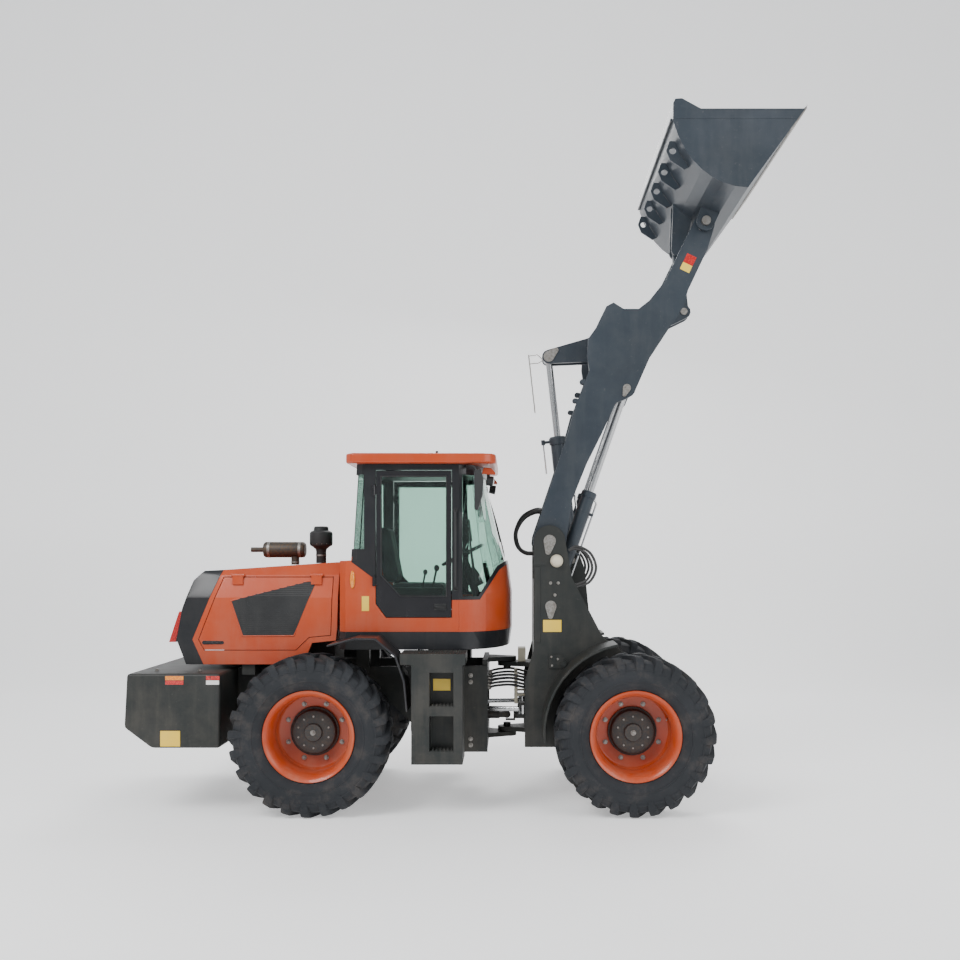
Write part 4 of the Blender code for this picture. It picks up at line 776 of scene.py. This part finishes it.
def makeEngineDoors():
    grille = [(-2.097, 1.566), (-2.007, 1.298), (-1.617, 1.30), (-1.440, 1.732)]
    for sideName, side in sides:
        door = "engine_door_" + sideName
        body = bodyOf(door)
        mesh, rim, slot = bmesh.new(), bmesh.new(), bmesh.new()
        face = 0.5803

        def lean(z):  # the upper door tilts in
            return face - max(0.0, z - 1.60) * 0.31

        low, high = 1.31, 1.70
        for step in range(27):
            z = low + (high - low) * step / 26
            back = -2.007 - (z - 1.298) * 0.09 / 0.268 if z < 1.566 else -2.097 + (z - 1.566) * 0.657 / 0.166
            ahead = -1.617 + (z - 1.30) * 0.177 / 0.432
            if ahead - back > 0.05:
                blockAt(mesh, (back + 0.014, side * lean(z), z),
                        (ahead - 0.014, side * (lean(z) + 0.0022), z + 0.0075))
        for x in (-1.98, -1.89, -1.80, -1.71, -1.62):
            top = min(1.566 + (x + 2.097) * 0.2527, 1.72) - 0.006
            foot = 1.306 if x < -1.62 else 1.32
            rodAt(mesh, (x, side * lean(foot), foot), (x, side * lean(top), top), 0.0028, 8)
        ring = [at(x, side * lean(z), z) for x, z in grille]
        for first, second in zip(ring, ring[1:] + ring[:1]):
            addRod(rim, first, second, 0.0055, 10)
        for x, z in grille:
            addBall(rim, at(x, side * lean(z), z), (0.0055, 0.0055, 0.0055), 10)
        backing = bmesh.new()
        foot = [(-2.003, 1.302), (-1.620, 1.302), (-1.498, 1.60), (-1.958, 1.60), (-2.091, 1.564)]
        plateAt(backing, foot, side * face, side * (face + 0.0016))
        verts = [at(x, side * (lean(z) + 0.0008), z)
                 for x, z in ((-1.958, 1.60), (-1.498, 1.60), (-1.446, 1.728))]
        behind = [vert + Vector((0, side * 0.0012, 0)) for vert in verts]
        near, far = ([backing.verts.new(vert) for vert in ring] for ring in (verts, behind))
        backing.faces.new(near)
        backing.faces.new(far[::-1])
        for index in range(3):
            after = (index + 1) % 3
            backing.faces.new((near[index], far[index], far[after], near[after]))
        piece(backing, door + "_mesh", blackPlastic, body, 0.0, 30)
        plateAt(slot, arc((-2.160, 1.248), 0.012, -90, 90, 8) + arc((-2.30, 1.248), 0.015, 90, 270, 8),
                side * face, side * (face + 0.0016))
        rodAt(slot, (-2.175, side * face, 1.248), (-2.175, side * (face + 0.009), 1.248), 0.009, 20)
        blockAt(slot, (-2.28, side * (face + 0.001), 1.243), (-2.185, side * (face + 0.010), 1.253))
        piece(mesh, door + "_slats", blackPlastic, body, 0.0, 30)
        piece(rim, door + "_rim", orangePaint, body, 0.0, 40)
        piece(slot, door + "_latch", glossBlack, body, 0.0008, 30, 1)


makeKeepers()
makeTower()
makeCounterweight()
makeEngineDoors()
print("markings and keepers ready")


# exhaust and air intake, in place of their plain solids

def makeMuffler():
    shape, clamps = bmesh.new(), bmesh.new()
    addTurned(shape, [(0.0, -0.174), (0.018, -0.174), (0.030, -0.172), (0.052, -0.168), (0.060, -0.160),
                      (0.0635, -0.150), (0.0635, 0.150), (0.060, 0.160), (0.052, 0.168), (0.0, 0.174)],
              at(-1.805, 0, 1.957), (1, 0, 0), 48)
    rodAt(shape, (-1.97, 0, 1.957), (-2.03, 0, 1.957), 0.0195, 24)
    addTurned(shape, [(0.0165, 0.0), (0.0197, 0.0), (0.0197, 0.05), (0.0165, 0.05)], at(-2.028, 0, 1.957),
              (-1, 0, 0), 24, closed=True)
    rodAt(shape, (-1.72, 0, 1.836), (-1.72, 0, 1.91), 0.032, 28)
    for x in (-1.93, -1.68):
        addTurned(clamps, [(0.0636, -0.011), (0.0648, -0.011), (0.0648, 0.011), (0.0636, 0.011)],
                  at(x, 0, 1.957), (1, 0, 0), 48, closed=True)
        blockAt(clamps, (x - 0.010, -0.012, 2.008), (x + 0.010, 0.012, 2.0215))
    addTurned(clamps, [(0.0322, 0.0), (0.0338, 0.0), (0.0338, 0.012), (0.0322, 0.012)], at(-1.72, 0, 1.850),
              (0, 0, 1), 32, closed=True)
    muffler = piece(shape, "muffler_shell", exhaustSteel, "rear_body", 0.0, 30)
    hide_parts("muffler")
    piece(clamps, "muffler_clamps", zincPlate, "rear_body", 0.0, 30)


def makeAirCleaner():
    shape, trim = bmesh.new(), bmesh.new()
    addTurned(shape, [(0.0, 1.848), (0.041, 1.848), (0.041, 1.945), (0.046, 1.962), (0.070, 1.982),
                      (0.086, 1.990), (0.091, 2.000), (0.0925, 2.012), (0.0925, 2.085), (0.0905, 2.096),
                      (0.080, 2.106), (0.062, 2.112), (0.060, 2.118), (0.058, 2.138), (0.050, 2.146),
                      (0.0, 2.147)],
              at(-1.51, 0, 0), (0, 0, 1), 56)
    for step in range(14):
        turn = 2 * math.pi * step / 14
        out = Vector((math.cos(turn), math.sin(turn), 0))
        addRod(trim, at(-1.51, 0, 1.993) + out * 0.082, at(-1.51, 0, 2.006) + out * 0.0905, 0.004, 8)
    addTurned(trim, [(0.041, 1.905), (0.0425, 1.905), (0.0425, 1.918), (0.041, 1.918)], at(-1.51, 0, 0),
              (0, 0, 1), 40, closed=True)
    addRod(trim, at(-1.51, 0, 2.146), at(-1.51, 0, 2.1475), 0.014, 16)
    cleaner = piece(shape, "air_cleaner_bowl", blackPlastic, "rear_body", 0.0, 30)
    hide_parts("air_cleaner")
    piece(trim, "air_cleaner_trim", zincPlate, "rear_body", 0.0, 30)


# the cab's fittings

doorWindow = [(-0.45, 1.60), (-0.80, 1.60), (-0.948, 1.76), (-0.948, 2.51), (-0.45, 2.51)]


def makeCabOutside():
    rail, mirror, glass, amber, sticker, lampCap, lampLens = (bmesh.new() for _ in range(7))
    for sideName, side in sides:
        seal, handle = bmesh.new(), bmesh.new()
        corners = [at(x, side * 0.6505, z) for x, z in insetBy(doorWindow, 0.004)]
        for first, second in zip(corners, corners[1:] + corners[:1]):
            addRod(seal, first, second, 0.006, 10)
            addBall(seal, first, (0.006, 0.006, 0.006), 10)
        blockAt(handle, (-0.545, side * 0.6503, 1.497), (-0.455, side * 0.6543, 1.547))
        tubeAt(handle, [(-0.54, side * 0.655, 1.522), (-0.53, side * 0.676, 1.522),
                        (-0.50, side * 0.683, 1.522), (-0.47, side * 0.676, 1.522),
                        (-0.46, side * 0.655, 1.522)], 0.007, 10, 5)
        body = bodyOf("cab_door_" + sideName)
        piece(seal, f"door_{sideName}_seal", blackPlastic, body, 0.0, 30)
        piece(handle, f"door_{sideName}_handle", blackPlastic, body, 0.0, 30)
        tubeAt(rail, [(-0.385, side * 0.652, 1.66), (-0.385, side * 0.684, 1.675),
                      (-0.385, side * 0.690, 1.72), (-0.385, side * 0.690, 1.95),
                      (-0.385, side * 0.690, 2.19), (-0.385, side * 0.684, 2.235),
                      (-0.385, side * 0.652, 2.25)], 0.0105, 12, 6)
        for z in (1.66, 2.25):
            rodAt(rail, (-0.385, side * 0.6503, z), (-0.385, side * 0.656, z), 0.020)
        tubeAt(rail, [(-0.30, side * 0.640, 2.585), (-0.27, side * 0.72, 2.580),
                      (-0.235, side * 0.765, 2.565), (-0.225, side * 0.785, 2.53)], 0.008, 10, 6)
        blade = [(-0.235, 2.535), (-0.190, 2.545), (-0.172, 2.48), (-0.178, 2.36), (-0.214, 2.245),
                 (-0.236, 2.25)]
        plateAt(mirror, blade, side * 0.715, side * 0.865)
        addPlate(glass, [(side * 0.727, 2.262 + floorShift), (side * 0.853, 2.262 + floorShift),
                         (side * 0.853, 2.525 + floorShift), (side * 0.727, 2.525 + floorShift)],
                 pinX - 0.2375, pinX - 0.2362, "X")
        plateAt(lampCap, [(-0.19, 2.530), (-0.085, 2.522), (-0.085, 2.536), (-0.115, 2.572), (-0.175, 2.578)],
                side * 0.50, side * 0.60)
        addTurned(mirror, [(0.0, -0.02), (0.034, -0.02), (0.038, 0.02), (0.038, 0.034), (0.034, 0.034),
                           (0.0, 0.026)],
                  at(-0.135, side * 0.55, 2.478), (1, 0, -0.15), 28)
        rodAt(mirror, (-0.14, side * 0.55, 2.505), (-0.14, side * 0.55, 2.53), 0.012)
        addTurned(lampLens, [(0.0, 0.0265), (0.033, 0.0345), (0.0, 0.040)], at(-0.135, side * 0.55, 2.478),
                  (1, 0, -0.15), 28)
        addTurned(amber, [(0.0, 0.020), (0.010, 0.018), (0.018, 0.010), (0.020, 0.0), (0.0, 0.0)],
                  Vector((0, 0, 0)), (0, side, 0), 28)
        fresh = [vert for vert in amber.verts if vert.co.length < 0.06]
        for vert in fresh:
            vert.co.z *= 3.4
            vert.co += at(-1.162, side * 0.6505, 1.728)
        addSticker(sticker, ((-1.092, 1.492), (-1.037, 1.603)), side, 0.6503)
    rodAt(rail, (-0.57, 0, 2.678), (-0.57, 0, 2.692), 0.026)
    rodAt(rail, (-0.57, 0, 2.690), (-0.57, 0, 2.758), 0.011)
    piece(rail, "cab_rails", blackPlastic, "rear_body", 0.0, 30)
    piece(mirror, "mirrors", blackPlastic, "rear_body", 0.006, 30)
    piece(glass, "mirror_glass", mirrorSilver, "rear_body")
    piece(amber, "side_markers", amberLens, "rear_body", 0.0, 40)
    piece(sticker, "cab_stickers", paint["yellowSticker"], "rear_body")
    piece(lampCap, "lamp_caps", orangePaint, "rear_body", 0.006, 30)
    piece(lampLens, "lamp_lenses", clearLens, "rear_body", 0.0, 50)


def makeWiper():
    shape = bmesh.new()
    tubeAt(shape, [(-0.030, 0.05, 1.885), (-0.026, 0.10, 1.92), (-0.070, 0.22, 2.10), (-0.102, 0.28, 2.22)],
           0.005, 8, 6)
    tubeAt(shape, [(-0.062, 0.23, 2.02), (-0.104, 0.28, 2.22), (-0.166, 0.33, 2.42)], 0.006, 8, 4)
    rodAt(shape, (-0.052, 0.05, 1.878), (-0.022, 0.05, 1.890), 0.014)
    piece(shape, "wiper", blackPlastic, "rear_body", 0.0, 30)


def makeSteering():
    shape, trim = bmesh.new(), bmesh.new()
    axis = Vector((-0.20, 0, 0.40)).normalized()
    centre = at(-0.362, 0, 1.915)
    across = Vector((0, 1, 0))
    up = axis.cross(across)
    ring = [(0.176 + 0.0125 * math.cos(2 * math.pi * step / 12), 0.0125 * math.sin(2 * math.pi * step / 12))
            for step in range(12)]
    addTurned(shape, ring, centre, axis, 64, closed=True)
    for turn in (90, 210, 330):
        out = across * math.cos(math.radians(turn)) + up * math.sin(math.radians(turn))
        addRod(shape, centre - axis * 0.025, centre + out * 0.174, 0.010, 12, 0.008)
    addTurned(shape, [(0.0, 0.012), (0.030, 0.010), (0.042, 0.0), (0.044, -0.030), (0.030, -0.045),
                      (0.0, -0.045)],
              centre, axis, 36)
    addRod(shape, at(-0.135, 0, 1.25), centre - axis * 0.04, 0.040, 28, 0.028)
    addTurned(shape, [(0.0, 0.0), (0.058, 0.0), (0.058, 0.10), (0.046, 0.16), (0.0, 0.165)],
              at(-0.24, 0, 1.66), axis, 32)
    column = piece(shape, "steering_wheel", blackPlastic, "rear_body", 0.0, 32)
    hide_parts("steering_column")
    addRod(trim, centre + across * 0.16 + axis * 0.008, centre + across * 0.16 + axis * 0.045, 0.017, 20,
           0.020)
    plateAt(trim, [(-0.150, 1.60), (-0.110, 1.60), (-0.170, 1.87), (-0.200, 1.855)], -0.16, 0.16)
    blockAt(trim, (-0.93, -0.42, 1.245), (-0.50, -0.28, 1.66))
    blockAt(trim, (-0.93, 0.28, 1.245), (-0.56, 0.42, 1.60))
    rodAt(trim, (-0.58, -0.35, 1.655), (-0.55, -0.35, 1.80), 0.008)
    addBall(trim, at(-0.548, -0.35, 1.812), (0.022, 0.022, 0.026), 16)
    rodAt(trim, (-0.66, -0.33, 1.655), (-0.64, -0.33, 1.77), 0.007)
    addBall(trim, at(-0.638, -0.33, 1.78), (0.018, 0.018, 0.022), 16)
    plateAt(trim, [(-0.30, 2.02), (-0.27, 2.02), (-0.29, 2.19), (-0.32, 2.19)], -0.50, -0.30)
    rodAt(trim, (-0.29, -0.42, 2.03), (-0.24, -0.50, 1.70), 0.010)
    piece(trim, "cab_console", blackPlastic, "rear_body", 0.006, 30)


makeMuffler()
makeAirCleaner()
makeCabOutside()
makeWiper()
makeSteering()
print("cab and intake ready")


# bucket, boom and cylinders

def addHoledPlate(shape, outline, hole, low, high):  # a plate normal to Y with one round hole
    def ring(points):
        verts = [shape.verts.new((x, low, z)) for x, z in shifted(points)]
        return [shape.edges.new(pair) for pair in zip(verts, verts[1:] + verts[:1])]
    edges = ring(outline) + ring(hole)
    filled = bmesh.ops.triangle_fill(shape, edges=edges, use_beauty=True)["geom"]
    faces = [item for item in filled if isinstance(item, bmesh.types.BMFace)]
    grown = bmesh.ops.extrude_face_region(shape, geom=faces)["geom"]
    bmesh.ops.translate(shape, verts=[item for item in grown if isinstance(item, bmesh.types.BMVert)],
                        vec=(0, high - low, 0))


def makeBucketTrim():
    ribs, strips, edge = bmesh.new(), bmesh.new(), bmesh.new()
    outline = [(1.229, 4.934), (1.190, 4.936), (1.166, 4.868), (1.194, 4.797), (1.296, 4.730), (1.334, 4.749),
               (1.276, 4.831)]
    for across in (-0.9, -0.45, 0.0, 0.45, 0.9):
        addHoledPlate(ribs, outline, arc((1.213, 4.864), 0.024, 0, 345, 23), across - 0.009, across + 0.009)
    for _, side in sides:
        plateAt(strips, [(1.200, 5.045), (2.078, 5.045), (2.128, 5.113), (1.200, 5.113)], side * 1.0503,
                side * 1.0516)
        for x in (1.62, 1.95):
            blockAt(strips, (x, side * 1.0120, 5.1183), (x + 0.035, side * 1.0295, 5.1225))
    rodAt(strips, (1.1862, -1.03, 5.044), (1.1862, 1.03, 5.044), 0.009)
    blockAt(strips, (1.2605, -1.02, 5.166), (1.268, 1.02, 5.186))
    plateAt(edge, [(2.034, 4.9655), (2.1535, 5.1305), (2.1615, 5.1247), (2.0420, 4.9597)], -1.045, 1.045)
    piece(ribs, "bucket_ribs", slatePaint, "bucket_body", 0.0, 30)
    piece(strips, "bucket_strips", slatePaint, "bucket_body", 0.002, 30, 1)
    piece(edge, "bucket_cutting_edge", zincPlate, "bucket_body", 0.001, 30, 1)


def along(start, end, distance, aside=0.0, y=0.0):  # a point beside a line in the side view
    run = Vector((end[0] - start[0], end[1] - start[1])).normalized()
    return at(start[0] + run.x * distance + run.y * aside, y, start[1] + run.y * distance - run.x * aside)


def makeCylinders():
    for sideName, side in sides:
        shape, collar = bmesh.new(), bmesh.new()
        y = side * 0.255
        points = [along(liftBase, liftEye, distance, aside, y) for distance, aside in
                  ((0.90, 0.050), (0.885, 0.072), (0.85, 0.080), (0.60, 0.080), (0.35, 0.080), (0.20, 0.078),
                   (0.165, 0.070), (0.15, 0.050))]
        addTube(shape, curved(points, 5), 0.008, 12)
        axis = along(liftBase, liftEye, 1.0, 0, y) - along(liftBase, liftEye, 0.0, 0, y)
        addTurned(collar, [(0.0553, -0.030), (0.0595, -0.028), (0.0610, -0.022), (0.0610, 0.010),
                           (0.0575, 0.015), (0.0553, 0.015)], along(liftBase, liftEye, 0.930, 0, y), axis,
                           40, closed=True)
        for distance in (0.45, 0.78):
            addTurned(collar, [(0.0553, -0.009), (0.0570, -0.009), (0.0570, 0.009), (0.0553, 0.009)],
                      along(liftBase, liftEye, distance, 0, y), axis, 40, closed=True)
            addRod(collar, along(liftBase, liftEye, distance, 0.055, y),
                   along(liftBase, liftEye, distance, 0.086, y), 0.012, 12)
        body = bodyOf("lift_barrel_" + sideName)
        piece(shape, f"lift_pipe_{sideName}", rodChrome, body, 0.0, 30)
        piece(collar, f"lift_collars_{sideName}", slatePaint, body, 0.0, 30)
    collar, pipe, rod = bmesh.new(), bmesh.new(), bmesh.new()
    axis = along(tiltBase, tiltEye, 1.0) - along(tiltBase, tiltEye, 0.0)
    addTurned(collar, [(0.0623, -0.040), (0.0690, -0.038), (0.0710, -0.030), (0.0710, 0.012), (0.066, 0.018),
                       (0.0623, 0.018)], along(tiltBase, tiltEye, 0.985), axis, 44, closed=True)
    for distance in (0.30, 0.62):
        addTurned(collar, [(0.0623, -0.010), (0.0642, -0.010), (0.0642, 0.010), (0.0623, 0.010)],
                  along(tiltBase, tiltEye, distance), axis, 44, closed=True)
    addRod(collar, along(tiltBase, tiltEye, 0.975, -0.069), along(tiltBase, tiltEye, 0.975, -0.120), 0.012,
           14)
    addRod(collar, along(tiltBase, tiltEye, 0.955, -0.120), along(tiltBase, tiltEye, 0.995, -0.120), 0.016,
           16)
    addRod(pipe, along(tiltBase, tiltEye, 0.955, -0.120), along(tiltBase, tiltEye, 0.72, -0.120), 0.006, 12)
    points = [along(tiltBase, tiltEye, distance, aside) for distance, aside in
              ((0.93, 0.055), (0.91, 0.080), (0.88, 0.088), (0.60, 0.088), (0.30, 0.088), (0.20, 0.080),
               (0.17, 0.055))]
    addTube(pipe, curved(points, 5), 0.009, 12)
    reach = (Vector(tiltEye) - Vector(tiltBase)).length
    for distance in (reach + 0.035, reach - 0.030):
        tubeHold = [along(tiltBase, tiltEye, reach - 0.012, -0.046),
                    along(tiltBase, tiltEye, distance, -0.085),
                    along(tiltBase, tiltEye, distance, -0.110), along(tiltBase, tiltEye, distance, -0.158)]
        addTube(rod, curved(tubeHold, 5), 0.0035, 8)
    addRod(rod, along(tiltBase, tiltEye, reach + 0.045, -0.158),
           along(tiltBase, tiltEye, reach - 0.43, -0.158), 0.0048, 12)
    piece(collar, "tilt_collars", slatePaint, bodyOf("tilt_barrel"), 0.0, 30)
    piece(pipe, "tilt_pipes", rodChrome, bodyOf("tilt_barrel"), 0.0, 30)
    piece(rod, "level_rod", zincPlate, bodyOf("tilt_rod"), 0.0, 30)


def makeBoomTrim():
    pegs, red, yellow = bmesh.new(), bmesh.new(), bmesh.new()
    for _, side in sides:
        for x, z, radius in ((0.602, 3.262, 0.020), (0.542, 3.115, 0.018)):
            rodAt(pegs, (x, side * 0.335, z), (x, side * 0.376, z), radius)
            rodAt(pegs, (x - 0.012, side * 0.345, z), (x - 0.012, side * 0.366, z), radius * 1.15)
        blockAt(pegs, (0.295, side * 0.2620, 2.235), (0.335, side * 0.3297, 2.285))
        for shape, start, end in ((red, 0.0, 0.075), (yellow, -0.060, 0.0)):
            corners = [(1.408 + 0.436 * run + 0.9 * aside, 4.178 + 0.9 * run - 0.436 * aside)
                       for run, aside in ((start, -0.040), (start, 0.040), (end, 0.040), (end, -0.040))]
            plateAt(shape, corners, side * (0.3803 + proud), side * (0.3811 + proud))
    piece(pegs, "boom_clips", slatePaint, "boom_arm", 0.002, 30, 1)
    piece(red, "boom_marks_red", redLens, "boom_arm")
    piece(yellow, "boom_marks_yellow", paint["yellowSticker"], "boom_arm")


# hoses and shafts

def makeHoses():
    for sideName, side in sides:
        fixed, clamps, nuts, frontNuts = (bmesh.new() for _ in range(4))
        for shift in (0.0, 0.030):
            points = [(0.480, 1.950), (0.545, 1.962 + shift * 0.6),
                      (0.625 + shift * 0.7, 1.915 + shift * 0.5), (0.662 + shift, 1.815),
                      (0.625 + shift * 0.7, 1.725 - shift * 0.5), (0.560, 1.690 - shift * 0.6),
                      (0.520, 1.684 - shift * 0.6)]
            tubeAt(fixed, [(x, side * 0.4075, z) for x, z in points], 0.0105, 12, 7)
        piece(fixed, f"front_hoses_{sideName}", hoseRubber, "front_body", 0.0, 40)
        for index, y in enumerate((0.302, 0.274)):
            loop = bmesh.new()
            swell = 0.014 * index
            points = [(0.300, y, 2.268), (0.225, y - 0.03, 2.262 + swell),
                      (0.135 - swell, y - 0.10, 2.205 + swell), (0.078 - swell, y - 0.15, 2.095),
                      (0.095 - swell, y - 0.15, 1.985), (0.150, y - 0.12, 1.938 - swell),
                      (0.236, y - 0.08, 1.935 - swell)]
            tubeAt(loop, [(x, side * across, z) for x, across, z in points], 0.0105, 12, 8)
            hose = piece(loop, f"boom_hose_{sideName}_{index}", hoseRubber, None, 0.0, 40)
            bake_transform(hose)
        blockAt(clamps, (0.2125, side * 0.1805, 1.895), (0.262, side * 0.3945, 1.955))
        piece(clamps, f"hose_block_{sideName}", blackPaint, "front_body", 0.003, 30, 1)
        for index in range(4):
            line = bmesh.new()
            level, out = 0.862 + 0.027 * index, side * (0.215 + 0.022 * (index % 2))
            points = [(-0.150, out, level), (-0.085, out + side * 0.012, level + 0.018),
                      (0.030, out + side * 0.022, level + 0.026), (0.140, out + side * 0.010, level + 0.004),
                      (0.2105, out, level - 0.012)]
            tubeAt(line, points, 0.0098, 12, 8)
            rodAt(nuts, (-0.1505, out, level), (-0.124, out, level), 0.0145, 6)
            rodAt(frontNuts, (0.2105, out, level - 0.012), (0.184, out, level - 0.012), 0.0145, 6)
            hose = piece(line, f"centre_hose_{sideName}_{index}", hoseRubber, None, 0.0, 40)
            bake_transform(hose)
        piece(nuts, f"rear_nuts_{sideName}", zincPlate, "rear_body")
        piece(frontNuts, f"front_nuts_{sideName}", zincPlate, "front_body")


def makeDriveLine():
    rear, front, cream = bmesh.new(), bmesh.new(), bmesh.new()
    rodAt(rear, (-0.7195, 0, 0.62), (-0.060, 0, 0.62), 0.032, 28)
    rodAt(rear, (-0.7195, 0, 0.62), (-0.690, 0, 0.62), 0.060, 28)
    addBall(rear, at(0, 0, 0.62), (0.030, 0.030, 0.030), 20)
    for side in (1, -1):
        blockAt(rear, (-0.065, side * 0.024, 0.600), (0.012, side * 0.036, 0.640))
        blockAt(front, (-0.012, -0.020, 0.62 + side * 0.034), (0.065, 0.020, 0.62 + side * 0.046))
    rodAt(rear, (0, -0.036, 0.62), (0, 0.036, 0.62), 0.010)
    rodAt(front, (0.060, 0, 0.62), (0.2105, 0, 0.62), 0.032, 28)
    blockAt(front, (0.052, -0.022, 0.573), (0.066, 0.022, 0.667))
    rodAt(front, (0.190, 0, 0.62), (0.2105, 0, 0.62), 0.058, 28)
    for side in (1, -1):
        blockAt(cream, (0.058, side * 0.150, 0.730), (0.086, side * 0.176, 0.975))
        rodAt(cream, (0.080, side * 0.163, 0.80), (0.2105, side * 0.163, 0.80), 0.009)
        blockAt(cream, (0.088, side * 0.020, 1.0553), (0.150, side * 0.090, 1.165))
    piece(rear, "drive_shaft_rear", castIron, "rear_body", 0.0, 30)
    piece(front, "drive_shaft_front", castIron, "front_body", 0.0, 30)
    piece(cream, "valve_blocks", paint["creamPaint"], "front_body", 0.003, 30, 1)


def makeLadders():
    treads, stickers, bolts = bmesh.new(), bmesh.new(), bmesh.new()
    for _, side in sides:
        for foot in (0.815, 0.49):
            blockAt(treads, (-0.555, side * 0.853, foot + 0.0004), (-0.388, side * 0.977, foot + 0.005))
            for row in range(4):
                for column in range(6):
                    x, y = -0.541 + column * 0.028 + 0.006 * (row % 2), side * (0.870 + 0.030 * row)
                    addRod(treads, at(x, y, foot + 0.004), at(x, y, foot + 0.0125), 0.0085, 8, 0.0062)
        for row in range(9):
            for column in range(10):
                x, y = -0.665 + column * 0.036, side * (0.690 + 0.032 * row)
                turn = 0.009 if (row + column) % 2 else -0.009
                rodAt(treads, (x - 0.009, y - turn, 1.1990), (x + 0.009, y + turn, 1.1990), 0.0026, 6)
        addSticker(stickers, ((-0.540, 0.917), (-0.412, 1.003)), side, 0.8503)
        for z in (0.976, 0.925, 0.482, 0.435):
            addBolt(bolts, at(-0.282, side * 0.3703, z), (0, side, 0), 0.016)
    piece(treads, "ladder_treads", chassisPaint, "rear_body", 0.0, 30)
    piece(stickers, "ladder_stickers", paint["yellowSticker"], "rear_body")
    piece(bolts, "frame_bolts", zincPlate, "rear_body")


# the seat, swelled by cloth simulation

seatDims = {"voxel": 0.0065, "swell": 0.014, "inset": 0.011, "frames": 20, "pressure": 4.0}


def puffed(thing):
    scene = bpy.context.scene
    cloth = thing.modifiers.new("Cloth", "CLOTH")
    cloth.settings.quality = 5
    cloth.settings.use_pressure = True
    cloth.settings.uniform_pressure_force = seatDims["pressure"]
    cloth.settings.effector_weights.gravity = 0.0
    cloth.point_cache.frame_start = 1
    cloth.point_cache.frame_end = seatDims["frames"]
    for number in range(1, seatDims["frames"] + 1):
        scene.frame_set(number)
    soft = thing.evaluated_get(bpy.context.evaluated_depsgraph_get())
    grown = [vert.co.copy() for vert in soft.data.vertices]
    thing.modifiers.remove(cloth)
    scene.frame_set(1)
    for vert, new in zip(thing.data.vertices, grown):
        step = new - vert.co
        vert.co += step * min(1.0, seatDims["swell"] / max(step.length, 1e-9))


def makeCushion(name, node, outline, half, channels):
    shape = bmesh.new()
    inset = seatDims["inset"]
    plateAt(shape, insetBy(outline, inset * 1.2), -(half - inset), half - inset)
    bmesh.ops.recalc_face_normals(shape, faces=shape.faces)
    bmesh.ops.bevel(shape, geom=shape.edges[:], offset=0.030, segments=4, profile=0.6, affect="EDGES",
                    material=-1)
    rough = piece(shape, name + "_form", seatCloth, None)
    voxels = rough.modifiers.new("Voxels", "REMESH")
    voxels.mode = "VOXEL"
    voxels.voxel_size = seatDims["voxel"]
    solid = rough.evaluated_get(bpy.context.evaluated_depsgraph_get())
    mesh = bpy.data.meshes.new_from_object(solid)
    bpy.data.objects.remove(rough)
    mesh.name = name
    thing = bpy.data.objects.new(name, mesh)
    bpy.context.scene.collection.objects.link(thing)
    puffed(thing)
    for vert in mesh.vertices:  # sewn channels across the pad
        across = abs(vert.co.y) / half
        dip = sum(math.exp(-((across - channel) / 0.035) ** 2) for channel in channels)
        vert.co -= vert.normal * 0.006 * dip
    mesh.materials.clear()
    mesh.materials.append(seatCloth)
    mesh.shade_smooth()
    finer = thing.modifiers.new("Finer", "SUBSURF")
    finer.levels = 1
    finer.render_levels = 1
    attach(thing, "rear_body")
    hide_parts(node)


makeBucketTrim()
makeCylinders()
makeBoomTrim()
makeHoses()
makeDriveLine()
makeLadders()
makeCushion("seat_pad", "seat_cushion", [(-0.94, 1.562), (-0.47, 1.562), (-0.47, 1.679), (-0.94, 1.679)],
            0.25, (0.0, 0.62))
makeCushion("seat_back", "seat_backrest", [(-0.96, 1.6815), (-0.86, 1.6815), (-0.95, 2.15), (-1.04, 2.15)],
            0.24, (0.0, 0.62))
print("details ready")
